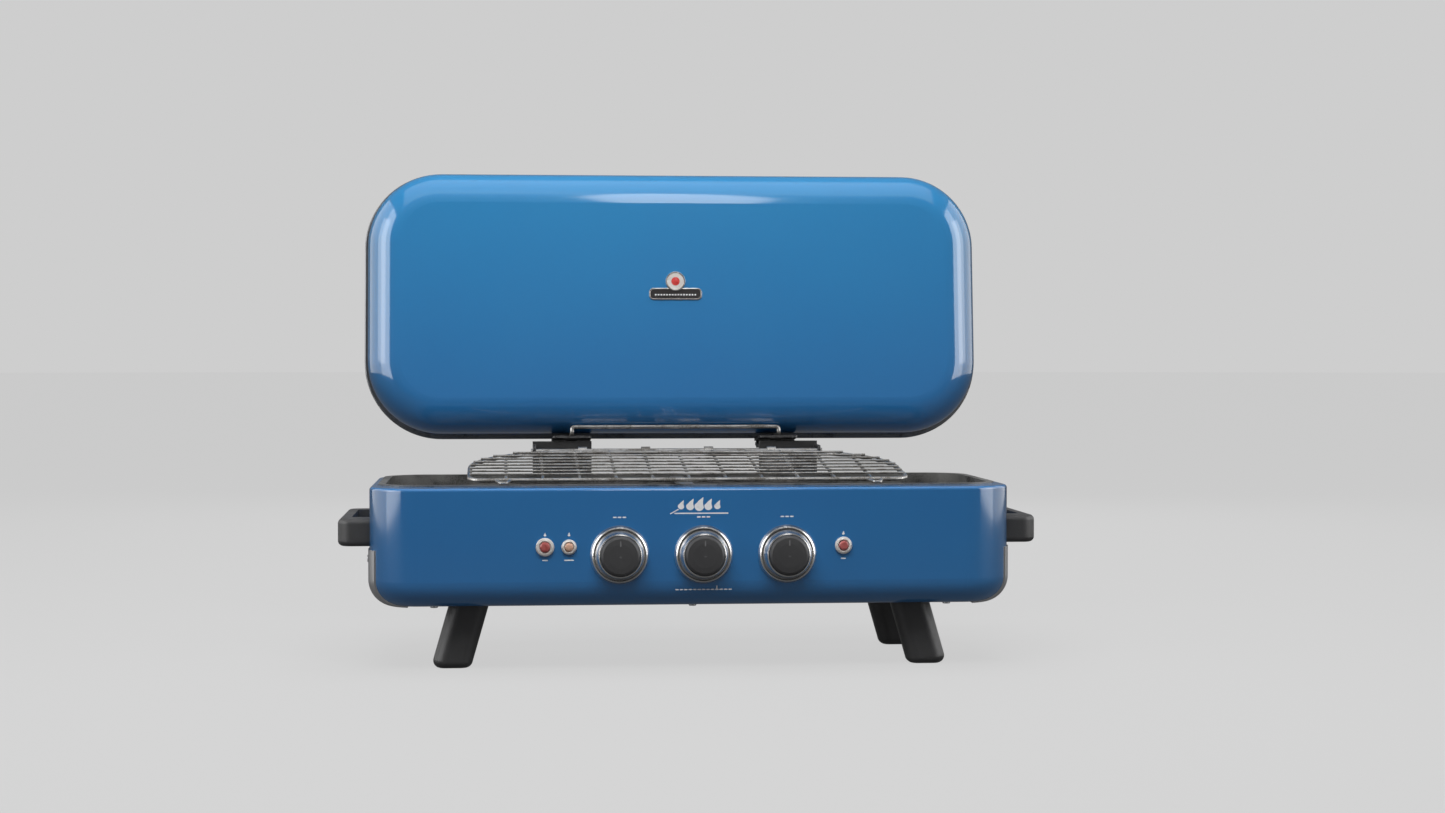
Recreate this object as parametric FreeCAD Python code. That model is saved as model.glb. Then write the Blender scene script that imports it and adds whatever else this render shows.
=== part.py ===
import FreeCAD, Part
import os
from math import atan2, cos, radians, sin, sqrt, tan

# Folding camp grill, millimetres. X runs along the front, -Y is the front, +Z is up.
# The origin lies on the ground under the middle of the whole grill's footprint.
V = FreeCAD.Vector
NODES = {}

# ---- base: a blue pressed shell with a dark bowl hung in it ----
BASE_W = 600.0            # over the end walls
BASE_D = 258.0            # front panel to rear wall
BASE_H = 110.0            # bottom to top deck
GROUND_GAP = 60.0         # ground to the base's bottom
SHEET = 1.5               # shell wall
BASE_CORNER = 46.0        # upright corners
BASE_BELLY = 24.0         # round of the bottom edge
BASE_BROW = 3.0           # round of the top edge
DECK_FRONT = 42.0         # deck over the valves
DECK_SIDE = 12.0          # deck at the ends and the rear
BOTTOM_MARGIN = 34.0      # edge of the shell to its bottom opening
BOWL_SHEET = 1.2
BOWL_DEPTH = 62.0
BOWL_CORNER = 34.0
BOWL_BELLY = 18.0
BOWL_LIP = 6.0            # lip that lies on the deck
BOWL_GAP = 0.5            # bowl wall to deck opening
DRAIN_R = 9.0
PLATE = 1.2               # bottom plate
PLATE_LAP = 8.5           # plate over the shell's bottom flange
PLATE_CORNER = 24.0
GUARD = 1.2               # steel guards low on both ends
GUARD_H = 52.0
GUARD_RUN = 36.0          # how far a guard reaches under the base
GUARD_SET = 22.0          # front panel to guard

# ---- legs: oval tubes, splayed, that swing up through slots ----
LEG_W = 36.0
LEG_T = 28.0
LEG_ROUND = 12.0
LEG_SPLAY = 16.0          # degrees outwards from plumb
LEG_FOOT_ROUND = 7.0
LEG_PIVOT_UP = 24.0       # pivot above the base's bottom
LEG_X_FRONT = 201.0
LEG_X_REAR = 198.0
LEG_INSET = 52.0          # base's front or rear face to the leg's middle
LEG_PIN_R = 3.0
LEG_SIDE_GAP = 0.6
LEG_END_GAP = 1.0
BRACKET_T = 2.0
BRACKET_W = 32.0
BRACKET_FOOT = 10.0
RUN_FIT = 0.05            # radial clearance of a pin or shaft in its hole

# ---- control panel ----
KNOB_DROP = 61.5          # deck to knob axis
KNOB_PITCH = 77.5
KNOB_SHIFT = 8.0          # middle knob from the middle of the panel
BEZEL_R = 27.0
BEZEL_PROUD = 5.0
SKIRT_R = 22.6
SKIRT_GAP = 0.8
KNOB_CAP_R = 18.4
KNOB_PROUD = 22.0
STEM_R = 3.0
STEM_HOLE_R = 5.0
VALVE_W = 16.0
VALVE_D = 20.0
VALVE_H = 22.0
VALVE_SET = 8.0           # panel to valve body
PIPE_R = 4.5
PIPE_BEND = 12.0
SUPPLY_X = 96.0           # pipe run to the rear
INLET_R = 8.0
INLET_OUT = 26.0
BUTTON_DROP = 54.0
BUTTONS = {"left": (-138.0, 8.5), "middle": (-116.0, 7.0), "right": (138.0, 8.0)}
BUTTON_PROUD = 4.8
BUTTON_TRAVEL = 2.5
BUTTON_BODY_L = 22.0

# ---- burners ----
BURNER_R = 8.0
BURNER_WALL = 1.0
BURNER_UP = 20.0          # bowl floor to burner axis
BURNER_END_GAP = 18.0
PORTS = 12
TAMER_HALF = 24.0
TAMER_UP = 14.0           # burner axis to the tamer's lower edges
TAMER_RISE = 12.0
TAMER_T = 1.0
BAR_W = 14.0
BAR_T = 3.0

# ---- grease tray ----
TRAY_W = 156.0
TRAY_D = 190.0
TRAY_H = 18.0
TRAY_T = 1.0
TRAY_GAP = 1.0
TRAY_DROP = 5.0           # bowl floor to the tray's brim
RUNNER_T = 1.5

# ---- side handles ----
HANDLE_OUT = 30.0
HANDLE_L = 164.0
HANDLE_H = 26.0
HANDLE_BAR = 12.0
HANDLE_ARM = 26.0
HANDLE_DROP = 43.0        # deck to handle middle
HANDLE_ROUND = 5.0

# ---- rack: welded wire, hung on a rail at the rear ----
RACK_W = 416.0
RACK_SET = 60.0           # front panel to the rack's front edge
RACK_FRONT_R = 14.0
RACK_REAR_R = 100.0
RACK_RISE = 6.6           # degrees, rear edge higher
RACK_FRAME_R = 2.2
RACK_WIRE_R = 1.1
RACK_CROSS_R = 1.5
RACK_WIRES = 8
RACK_CROSSES = 11
WELD = 0.4                # how deep a long wire sinks in the frame
CROSS_WELD = 0.25         # and in a cross wire, which stays under the frame's top
RAIL_R = 3.0
RAIL_SET = 24.0           # rail in front of the rear wall
RAIL_UP = 24.5            # rail above the deck
HOOK_WALL = 1.6
HOOK_L = 9.0
HOOK_GAP = 0.3
HOOK_X = (-96.0, -32.0, 32.0, 96.0)
FOOT_X = 176.0

# ---- hinges and lid cradle ----
LEAF_T = 2.5
LEAF_IN = 86.0            # middle to the leaves' inner edges
LEAF_LOW_W = 60.0
LEAF_UP_W = 40.0
LEAF_DOWN = 44.0          # leaf below the deck
HINGE_UP = 30.0           # pin above the deck
HINGE_BACK = 28.0         # pin behind the rear wall
BARREL_R = 4.0
HINGE_PIN_R = 1.8
SEAT_T = 2.0              # plate the lid stands over
SEAT_GAP = 0.4
CRADLE_BEND = 6.0
CRADLE_UP = 7.0
LIP_UP = 10.0

# ---- lid: a deep pan standing on edge, mouth to the rear ----
LID_W = 628.0
LID_H = 268.0
LID_DEEP = 60.0
LID_CORNER = 75.0
LID_EDGE = 34.0
LID_T = 1.5
LID_FRONT_SET = 16.0      # face in front of the rear wall
LID_SEAT_GAP = 0.2
LID_LEAN = 6.0            # degrees back from plumb when the cradle is on its stop
RIM_PROUD = 4.0
RIM_DEEP = 8.0
RIM_COVER = 1.0
BADGE_UP = 6.0            # lid middle to badge bar
BADGE_BAR = (54.0, 12.0)
BADGE_R = 10.0
BADGE_LAP = 3.0           # bar cut away round the disc
BADGE_T = 2.2
BADGE_GAP = 0.1

# ---- places worked out from the sizes ----
Z_BOTTOM = GROUND_GAP
Z_DECK = GROUND_GAP + BASE_H
CRADLE_R = (RIM_PROUD + SEAT_GAP - LID_SEAT_GAP) / 2
LEAN = radians(LID_LEAN)
RIM_BACK = LID_DEEP - LID_FRONT_SET + RIM_COVER - HINGE_BACK
RIM_HIGH = BARREL_R + 2 * SEAT_GAP + SEAT_T + LID_H + 2 * RIM_PROUD
REAR_OUT = HINGE_BACK + RIM_BACK * cos(LEAN) + RIM_HIGH * sin(LEAN)
Y_MID = (KNOB_PROUD - REAR_OUT) / 2
Y_FRONT = Y_MID - BASE_D / 2
Y_REAR = Y_MID + BASE_D / 2
Z_FLOOR = Z_DECK - BOWL_DEPTH
Z_KNOB = Z_DECK - KNOB_DROP
Z_BURNER = Z_FLOOR + BURNER_UP
BOWL_X = BASE_W / 2 - DECK_SIDE - BOWL_GAP
BOWL_Y0 = Y_FRONT + DECK_FRONT + BOWL_GAP
BOWL_Y1 = Y_REAR - DECK_SIDE - BOWL_GAP
KNOBS = {"left": KNOB_SHIFT - KNOB_PITCH, "centre": KNOB_SHIFT, "right": KNOB_SHIFT + KNOB_PITCH}
Z_PLATE = Z_BOTTOM + SHEET + PLATE
Z_LEG = Z_BOTTOM + LEG_PIVOT_UP
LEGS = {
    "front_left": (-LEG_X_FRONT, Y_FRONT + LEG_INSET),
    "front_right": (LEG_X_FRONT, Y_FRONT + LEG_INSET),
    "rear_left": (-LEG_X_REAR, Y_REAR - LEG_INSET),
    "rear_right": (LEG_X_REAR, Y_REAR - LEG_INSET),
}
HINGE_Y = Y_REAR + HINGE_BACK
HINGE_Z = Z_DECK + HINGE_UP
Z_SEAT = HINGE_Z + BARREL_R + SEAT_GAP
Z_CRADLE = Z_SEAT + SEAT_T + CRADLE_R
LID_Y0 = Y_REAR - LID_FRONT_SET
LID_Z0 = Z_SEAT + SEAT_T + 2 * CRADLE_R + LID_SEAT_GAP
RAIL_Y = Y_REAR - RAIL_SET
RAIL_Z = Z_DECK + RAIL_UP
RACK_DEPTH = (RAIL_Y - Y_FRONT - RACK_SET) / cos(radians(RACK_RISE))


def box(x0, x1, y0, y1, z0, z1):
    return Part.makeBox(x1 - x0, y1 - y0, z1 - z0, V(x0, y0, z0))


def rod(start, end, radius):
    """A round bar from one point to another."""
    start, end = V(*start), V(*end)
    return Part.makeCylinder(radius, (end - start).Length, start, end - start)


def tube(start, end, outer, inner):
    return rod(start, end, outer).cut(rod(start, end, inner))


def flat_edges(shape, axis, value):
    """The edges that lie in one plane across an axis."""
    low, high = axis + "Min", axis + "Max"
    return [e for e in shape.Edges
            if abs(getattr(e.BoundBox, low) - value) < 1e-3
            and abs(getattr(e.BoundBox, high) - value) < 1e-3]


def long_edges(shape, axis):
    """The straight edges that run along an axis."""
    others = [a for a in "XYZ" if a != axis]
    return [e for e in shape.Edges
            if all(getattr(e.BoundBox, a + "Length") < 1e-3 for a in others)]


def pan(x0, x1, y0, y1, z0, z1, corner, belly=0.0, brow=0.0):
    """A block with round upright corners, and round bottom and top edges if asked."""
    shape = box(x0, x1, y0, y1, z0, z1)
    shape = shape.makeFillet(corner, long_edges(shape, "Z"))
    if belly:
        shape = shape.makeFillet(belly, flat_edges(shape, "Z", z0))
    if brow:
        shape = shape.makeFillet(brow, flat_edges(shape, "Z", z1))
    return shape


def turned(profile, x, z, y=None):
    """A turned piece on an axis along Y. The profile's points are (radius, distance out of the panel)."""
    y = Y_FRONT if y is None else y
    points = [V(x + r, y - out, z) for r, out in profile]
    face = Part.Face(Part.makePolygon(points + points[:1]))
    return face.revolve(V(x, y, z), V(0, 1, 0), 360)


def screw(head, way, head_r, head_h, shank_r, shank_l):
    """A pan-head screw: head seat point, unit way of the shank."""
    seat, way = V(*head), V(*way)
    cap = Part.makeCylinder(head_r, head_h, seat - way * head_h, way)
    cap = cap.makeFillet(head_h * 0.45, [min(cap.Edges, key=lambda e: (e.CenterOfMass - seat).dot(way))])
    return cap.fuse(Part.makeCylinder(shank_r, shank_l, seat, way))


def grown_base(by):
    """The base's outer form, larger all round by a thickness."""
    return pan(-BASE_W / 2 - by, BASE_W / 2 + by, Y_FRONT - by, Y_REAR + by, Z_BOTTOM - by, Z_DECK,
               BASE_CORNER + by, BASE_BELLY + by)


def leg_outer_reach(sign, x):
    """Where a standing leg's outer face crosses the bottom plate's lower side."""
    drop = Z_LEG - (Z_PLATE - PLATE)
    return x + sign * (drop * tan(radians(LEG_SPLAY)) + LEG_W / 2 / cos(radians(LEG_SPLAY)))


LEG_REACH = Z_LEG / cos(radians(LEG_SPLAY)) + LEG_W / 2 * tan(radians(LEG_SPLAY))
PLATE_X = BASE_W / 2 - BOTTOM_MARGIN + PLATE_LAP
PLATE_Y = BASE_D / 2 - BOTTOM_MARGIN + PLATE_LAP
PLATE_SCREWS = [(x, Y_MID + s * (PLATE_Y - PLATE_LAP / 2))
                for x in (-240.0, 0.0, 240.0) for s in (-1, 1)]
GUARD_SCREWS = [(s, y) for s in (-1, 1) for y in (Y_MID - 70, Y_MID + 70)]
GUARD_SCREW_Z = Z_BOTTOM + GUARD_H - 10
HANDLE_Z = Z_DECK - HANDLE_DROP
HANDLE_SCREWS = [(s, Y_MID + t * (HANDLE_L - HANDLE_ARM) / 2) for s in (-1, 1) for t in (-1, 1)]
SCREW_R = 2.0
HINGE_SCREW_X = (LEAF_IN + 12, LEAF_IN + LEAF_LOW_W - 12)
HINGE_SCREW_Z = Z_DECK - LEAF_DOWN + 14
TRAY_Z1 = Z_FLOOR - TRAY_DROP
TRAY_Z0 = TRAY_Z1 - TRAY_H
Z_PIPE = Z_KNOB - VALVE_H / 2 - PIPE_R
BURNER_HOLE = BURNER_R + 0.2
BRACKET_IN = LEG_T / 2 + LEG_SIDE_GAP
BRACKET_OUT = BRACKET_IN + BRACKET_T
LIP_Y = LID_Y0 + LID_DEEP + RIM_COVER + SEAT_GAP
SEAT_Y0 = Y_REAR - 6.0
RACK_FRAME_START = RAIL_R + HOOK_GAP + HOOK_WALL + RACK_FRAME_R - WELD


def base_shell():
    outer = pan(-BASE_W / 2, BASE_W / 2, Y_FRONT, Y_REAR, Z_BOTTOM, Z_DECK,
                BASE_CORNER, BASE_BELLY, BASE_BROW)
    inner = pan(SHEET - BASE_W / 2, BASE_W / 2 - SHEET, Y_FRONT + SHEET, Y_REAR - SHEET,
                Z_BOTTOM + SHEET, Z_DECK - SHEET, BASE_CORNER - SHEET, BASE_BELLY - SHEET)
    shell = outer.cut(inner)
    mouth = pan(DECK_SIDE - BASE_W / 2, BASE_W / 2 - DECK_SIDE, Y_FRONT + DECK_FRONT, Y_REAR - DECK_SIDE,
                Z_DECK - 3 * SHEET, Z_DECK + 1, BOWL_CORNER + BOWL_GAP)
    under = pan(BOTTOM_MARGIN - BASE_W / 2, BASE_W / 2 - BOTTOM_MARGIN, Y_FRONT + BOTTOM_MARGIN,
                Y_REAR - BOTTOM_MARGIN, Z_BOTTOM - 1, Z_BOTTOM + 2 * SHEET, 12.0)
    holes = [mouth, under]
    for x in KNOBS.values():
        holes.append(rod((x, Y_FRONT - 5, Z_KNOB), (x, Y_FRONT + 5, Z_KNOB), STEM_HOLE_R))
    for x, ring_r in BUTTONS.values():
        z = Z_DECK - BUTTON_DROP
        holes.append(rod((x, Y_FRONT - 5, z), (x, Y_FRONT + 5, z), ring_r * 0.55 + HOOK_GAP))
    holes.append(rod((SUPPLY_X, Y_REAR - 5, Z_PIPE), (SUPPLY_X, Y_REAR + 5, Z_PIPE), INLET_R - 2 + RUN_FIT))
    slot = TRAY_W / 2 + TRAY_GAP
    holes.append(box(-slot, slot, Y_REAR - 5, Y_REAR + 5, TRAY_Z0 - TRAY_GAP, TRAY_Z1 + TRAY_GAP))
    for x, y in PLATE_SCREWS:
        holes.append(rod((x, y, Z_BOTTOM - 5), (x, y, Z_BOTTOM + 5), SCREW_R))
    for side, y in GUARD_SCREWS:
        x = side * BASE_W / 2
        holes.append(rod((x - 5, y, GUARD_SCREW_Z), (x + 5, y, GUARD_SCREW_Z), SCREW_R))
    for side, y in HANDLE_SCREWS:
        x = side * BASE_W / 2
        holes.append(rod((x - 5, y, HANDLE_Z), (x + 5, y, HANDLE_Z), SCREW_R))
    for side in (-1, 1):
        for x in HINGE_SCREW_X:
            at = side * x
            holes.append(rod((at, Y_REAR - 5, HINGE_SCREW_Z), (at, Y_REAR + 5, HINGE_SCREW_Z), SCREW_R))
    return shell.cut(holes)


def firebox_bowl():
    top = Z_DECK + BOWL_SHEET
    outer = pan(-BOWL_X, BOWL_X, BOWL_Y0, BOWL_Y1, Z_FLOOR, top, BOWL_CORNER, BOWL_BELLY)
    lip = pan(-BOWL_X - BOWL_LIP, BOWL_X + BOWL_LIP, BOWL_Y0 - BOWL_LIP, BOWL_Y1 + BOWL_LIP,
              Z_DECK, top, BOWL_CORNER + BOWL_LIP)
    inner = pan(BOWL_SHEET - BOWL_X, BOWL_X - BOWL_SHEET, BOWL_Y0 + BOWL_SHEET, BOWL_Y1 - BOWL_SHEET,
                Z_FLOOR + BOWL_SHEET, top + 5, BOWL_CORNER - BOWL_SHEET, BOWL_BELLY - BOWL_SHEET)
    holes = [rod((x, BOWL_Y0 - 5, Z_BURNER), (x, BOWL_Y0 + 5, Z_BURNER), BURNER_HOLE)
             for x in KNOBS.values()]
    holes.append(rod((0, Y_MID, Z_FLOOR - 5), (0, Y_MID, Z_FLOOR + 5), DRAIN_R))
    return outer.fuse(lip).cut([inner] + holes)


def leg_slot(name):
    x, y = LEGS[name]
    sign = 1 if x > 0 else -1
    outer = leg_outer_reach(sign, x) + sign * LEG_SIDE_GAP
    inner = x - sign * (LEG_REACH + LEG_END_GAP)
    half = LEG_T / 2 + LEG_END_GAP
    return min(outer, inner), max(outer, inner), y - half, y + half


def bottom_plate():
    plate = pan(-PLATE_X, PLATE_X, Y_MID - PLATE_Y, Y_MID + PLATE_Y, Z_PLATE - PLATE, Z_PLATE, PLATE_CORNER)
    holes = []
    for name in LEGS:
        x0, x1, y0, y1 = leg_slot(name)
        holes.append(box(x0, x1, y0, y1, Z_PLATE - 5, Z_PLATE + 5))
    for x, y in PLATE_SCREWS:
        holes.append(rod((x, y, Z_PLATE - 5), (x, y, Z_PLATE + 5), SCREW_R))
    return plate.cut(holes)


def side_guard(side):
    skin = grown_base(GUARD).cut(grown_base(0.0))
    edge = side * BASE_W / 2
    x0, x1 = sorted((edge - side * GUARD_RUN, edge + side * 10))
    region = box(x0, x1, Y_FRONT + GUARD_SET, Y_REAR - GUARD_SET, Z_BOTTOM - 10, Z_BOTTOM + GUARD_H)
    near, far = side * (BASE_W / 2 - 5), side * (BASE_W / 2 + 5)
    holes = [rod((near, y, GUARD_SCREW_Z), (far, y, GUARD_SCREW_Z), SCREW_R)
             for s, y in GUARD_SCREWS if s == side]
    return skin.common(region).cut(holes)


def handle(side):
    root, tip = BASE_W / 2, BASE_W / 2 + HANDLE_OUT
    block = box(root, tip, Y_MID - HANDLE_L / 2, Y_MID + HANDLE_L / 2,
                HANDLE_Z - HANDLE_H / 2, HANDLE_Z + HANDLE_H / 2)
    outer_corners = [e for e in long_edges(block, "Z") if e.CenterOfMass.x > root + 1]
    block = block.makeFillet(HANDLE_ROUND * 2.6, outer_corners)
    rounds = [e for e in block.Edges if e.CenterOfMass.x > root + 1
              and (e.BoundBox.ZLength < 1e-3)]
    block = block.makeFillet(HANDLE_ROUND, rounds)
    grip = box(root - 1, tip - HANDLE_BAR,
               Y_MID - HANDLE_L / 2 + HANDLE_ARM, Y_MID + HANDLE_L / 2 - HANDLE_ARM,
               HANDLE_Z - HANDLE_H, HANDLE_Z + HANDLE_H)
    grip = grip.makeFillet(HANDLE_ROUND, [e for e in long_edges(grip, "Z") if e.CenterOfMass.x > root])
    holes = [rod((root - 1, y, HANDLE_Z), (root + 12, y, HANDLE_Z), SCREW_R)
             for s, y in HANDLE_SCREWS if s == 1]
    block = block.cut([grip] + holes)
    return block if side == 1 else block.mirror(V(0, 0, 0), V(1, 0, 0))


def leg(name):
    x, y = LEGS[name]
    sign = 1 if x > 0 else -1
    reach = LEG_REACH + 10
    shaft = box(-LEG_W / 2, LEG_W / 2, -LEG_T / 2, LEG_T / 2, -reach, 0)
    shaft = shaft.makeFillet(LEG_ROUND, long_edges(shaft, "Z"))
    head = rod((0, -LEG_T / 2, 0), (0, LEG_T / 2, 0), LEG_W / 2)
    head = head.makeFillet(LEG_FOOT_ROUND, [e for e in head.Edges if e.BoundBox.YLength < 1e-3])
    shape = shaft.fuse(head)
    shape.rotate(V(0, 0, 0), V(0, 1, 0), -sign * LEG_SPLAY)
    shape.translate(V(x, y, Z_LEG))
    shape = shape.cut(box(x - 200, x + 200, y - 100, y + 100, -100, 0))
    shape = shape.makeFillet(LEG_FOOT_ROUND, flat_edges(shape, "Z", 0.0))
    return shape.cut(rod((x, y - LEG_T, Z_LEG), (x, y + LEG_T, Z_LEG), LEG_PIN_R + RUN_FIT))


def leg_bracket(name):
    x, y = LEGS[name]
    parts = []
    for s in (-1, 1):
        near, far = sorted((y + s * BRACKET_IN, y + s * BRACKET_OUT))
        cheek = box(x - BRACKET_W / 2, x + BRACKET_W / 2, near, far, Z_PLATE, Z_LEG + LEG_PIN_R * 3)
        near, far = sorted((y + s * BRACKET_OUT, y + s * (BRACKET_OUT + BRACKET_FOOT)))
        foot = box(x - BRACKET_W / 2, x + BRACKET_W / 2, near, far, Z_PLATE, Z_PLATE + BRACKET_T)
        parts.append(cheek.fuse(foot))
    hole = rod((x, y - LEG_T, Z_LEG), (x, y + LEG_T, Z_LEG), LEG_PIN_R)
    return [p.cut(hole) for p in parts]


def leg_pin(name):
    x, y = LEGS[name]
    half = BRACKET_OUT + 1.5
    ends = [rod((x, y + s * BRACKET_OUT, Z_LEG), (x, y + s * half, Z_LEG), LEG_PIN_R + 1.5) for s in (-1, 1)]
    return rod((x, y - BRACKET_OUT, Z_LEG), (x, y + BRACKET_OUT, Z_LEG), LEG_PIN_R).fuse(ends)


def bezel(x):
    r, p = BEZEL_R, BEZEL_PROUD
    bore = SKIRT_R + SKIRT_GAP
    profile = [(STEM_HOLE_R, 0), (r, 0), (r, p * 0.3), (r - 1.4, p * 0.85), (r - 2.6, p), (bore, p * 0.75),
               (bore, 1.5), (STEM_HOLE_R, 1.5)]
    return turned(profile, x, Z_KNOB)


def knob_skirt(x):
    profile = [(STEM_R, 2.3), (SKIRT_R - 1, 2.3), (SKIRT_R, 3.3), (SKIRT_R, 7), (SKIRT_R - 2, 16),
               (SKIRT_R - 2.6, 17.2), (KNOB_CAP_R + 0.6, 17.6), (KNOB_CAP_R, 16.6),
                (KNOB_CAP_R, 14), (STEM_R, 14)]
    return turned(profile, x, Z_KNOB)


def knob_cap(x):
    out = KNOB_PROUD
    profile = [(0, 14), (KNOB_CAP_R, 14), (KNOB_CAP_R, out - 3.2), (KNOB_CAP_R - 0.8, out - 1.6),
               (KNOB_CAP_R - 2.4, out - 0.7), (KNOB_CAP_R * 0.6, out - 0.15), (0, out)]
    return turned(profile, x, Z_KNOB)


def valve_stem(x):
    inner = Y_FRONT + VALVE_SET + VALVE_D * 0.6
    return rod((x, inner, Z_KNOB), (x, Y_FRONT - 14, Z_KNOB), STEM_R)


def valve_body(x):
    y0 = Y_FRONT + VALVE_SET
    block = box(x - VALVE_W / 2, x + VALVE_W / 2, y0, y0 + VALVE_D,
                Z_KNOB - VALVE_H / 2, Z_KNOB + VALVE_H / 2)
    block = block.makeFillet(2.0, long_edges(block, "Y"))
    neck = rod((x, y0 - 4, Z_KNOB), (x, y0, Z_KNOB), STEM_R + 3)
    spud_y = y0 + VALVE_D / 2
    spud = rod((x, spud_y, Z_KNOB + VALVE_H / 2), (x, spud_y, Z_BURNER - BURNER_R + 1), 2.5)
    bore = rod((x, y0 - 6, Z_KNOB), (x, y0 + VALVE_D * 0.62, Z_KNOB), STEM_R + RUN_FIT)
    return block.fuse([neck, spud]).cut(bore)


def gas_manifold():
    """One bent pipe: along under the valves, round a bend, and back to the rear wall."""
    y = Y_FRONT + VALVE_SET + VALVE_D / 2
    start = KNOBS["left"] - VALVE_W / 2
    run = rod((start, y, Z_PIPE), (SUPPLY_X - PIPE_BEND, y, Z_PIPE), PIPE_R)
    centre = V(SUPPLY_X - PIPE_BEND, y + PIPE_BEND, Z_PIPE)
    ring = Part.makeTorus(PIPE_BEND, PIPE_R, centre, V(0, 0, 1))
    quarter = box(centre.x, centre.x + 40, centre.y - 40, centre.y, Z_PIPE - 10, Z_PIPE + 10)
    back = rod((SUPPLY_X, centre.y, Z_PIPE), (SUPPLY_X, Y_REAR - 12, Z_PIPE), PIPE_R)
    return run.fuse([ring.common(quarter), back]).removeSplitter()


def inlet_fitting():
    """A hose tail with a threaded stub, held through the rear wall."""
    wall = Y_REAR - SHEET
    hexagon = Part.makePolygon([V(SUPPLY_X + 11 * cos(radians(a)), Y_REAR, Z_PIPE + 11 * sin(radians(a)))
                                for a in range(0, 361, 60)])
    nut = Part.Face(hexagon).extrude(V(0, 7, 0))
    body = rod((SUPPLY_X, Y_REAR - 12, Z_PIPE), (SUPPLY_X, Y_REAR, Z_PIPE), INLET_R - 2)
    stub = rod((SUPPLY_X, Y_REAR + 7, Z_PIPE), (SUPPLY_X, Y_REAR + INLET_OUT, Z_PIPE), INLET_R)
    ring = rod((SUPPLY_X, wall - 4, Z_PIPE), (SUPPLY_X, wall, Z_PIPE), INLET_R + 1)
    bore = rod((SUPPLY_X, Y_REAR - 20, Z_PIPE), (SUPPLY_X, Y_REAR + INLET_OUT + 1, Z_PIPE), 3.0)
    return nut.fuse([body, stub, ring]).cut(bore)


def burner(x):
    y0 = Y_FRONT + VALVE_SET
    y1 = BOWL_Y1 - BURNER_END_GAP
    outer = rod((x, y0, Z_BURNER), (x, y1, Z_BURNER), BURNER_R)
    inner = rod((x, y0 + 2, Z_BURNER), (x, y1 - 2, Z_BURNER), BURNER_R - BURNER_WALL)
    spud_y = y0 + VALVE_D / 2
    cuts = [inner, rod((x, spud_y, Z_BURNER - BURNER_R - 2), (x, spud_y, Z_BURNER), 2.6)]
    first, last = BOWL_Y0 + 18, y1 - 14
    for i in range(PORTS):
        y = first + (last - first) * i / (PORTS - 1)
        cuts.append(box(x - 4, x + 4, y - 0.7, y + 0.7, Z_BURNER + BURNER_R * 0.5, Z_BURNER + BURNER_R + 1))
    return outer.cut(cuts)


def flame_tamer(x):
    """A roof of bent sheet over a burner, its ends against the bowl's front and rear walls."""
    z = Z_BURNER + TAMER_UP
    y0, y1 = BOWL_Y0 + BOWL_SHEET, BOWL_Y1 - BOWL_SHEET
    slope = TAMER_T / cos(atan2(TAMER_RISE, TAMER_HALF))
    points = [V(x - TAMER_HALF, y0, z), V(x, y0, z + TAMER_RISE), V(x + TAMER_HALF, y0, z),
              V(x + TAMER_HALF, y0, z - slope), V(x, y0, z + TAMER_RISE - slope),
               V(x - TAMER_HALF, y0, z - slope)]
    return Part.Face(Part.makePolygon(points + points[:1])).extrude(V(0, y1 - y0, 0))


def centre_bar():
    y0, y1 = BOWL_Y0 + BOWL_SHEET, BOWL_Y1 - BOWL_SHEET
    top = Z_DECK - 1.0
    bar = box(-BAR_W / 2, BAR_W / 2, y0, y1, top - BAR_T, top)
    return bar.makeFillet(1.0, [e for e in long_edges(bar, "Y") if e.CenterOfMass.z > top - 0.5])


def grease_tray():
    y1 = Y_REAR + 1.5
    y0 = y1 - TRAY_D
    half = TRAY_W / 2
    outer = box(-half, half, y0, y1, TRAY_Z0, TRAY_Z1)
    outer = outer.makeFillet(4.0, [e for e in long_edges(outer, "Z") if e.CenterOfMass.y < Y_MID])
    inner = box(TRAY_T - half, half - TRAY_T, y0 + TRAY_T, y1 - TRAY_T, TRAY_Z0 + TRAY_T, TRAY_Z1 + 1)
    pull = box(-30, 30, y1, y1 + 12, TRAY_Z1 - 5, TRAY_Z1 - 3).fuse(
        box(-30, 30, y1 + 10, y1 + 12, TRAY_Z1 - 12, TRAY_Z1 - 3))
    return outer.cut(inner).fuse(pull)


def tray_runner(side):
    edge = TRAY_W / 2 + TRAY_GAP
    y0, y1 = Y_REAR - TRAY_D, Y_REAR - SHEET - TRAY_GAP
    x0, x1 = sorted((side * edge, side * (edge + RUNNER_T)))
    web = box(x0, x1, y0, y1, TRAY_Z0 - TRAY_GAP - RUNNER_T, TRAY_Z1)
    x0, x1 = sorted((side * (edge - 8), side * (edge + RUNNER_T)))
    shelf = box(x0, x1, y0, y1, TRAY_Z0 - TRAY_GAP - RUNNER_T, TRAY_Z0 - TRAY_GAP)
    posts = [box(x0, x1, y, y + 12, Z_PLATE, TRAY_Z0 - TRAY_GAP - RUNNER_T) for y in (y0 + 20, y1 - 62)]
    return web.fuse([shelf] + posts)


def button_ring(key):
    x, r = BUTTONS[key]
    bore = r * 0.55 + HOOK_GAP
    return turned([(bore, 0), (r, 0), (r, 1.6), (r - 0.9, 2.9), (bore + 1.0, 3.5), (bore, 2.6)],
                  x, Z_DECK - BUTTON_DROP)


def button_cap(key):
    x, ring_r = BUTTONS[key]
    r, out = ring_r * 0.55, BUTTON_PROUD
    profile = [(0, -10), (r, -10), (r, out - 1.2), (r - 0.8, out - 0.4), (r * 0.5, out), (0, out)]
    return turned(profile, x, Z_DECK - BUTTON_DROP)


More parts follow.
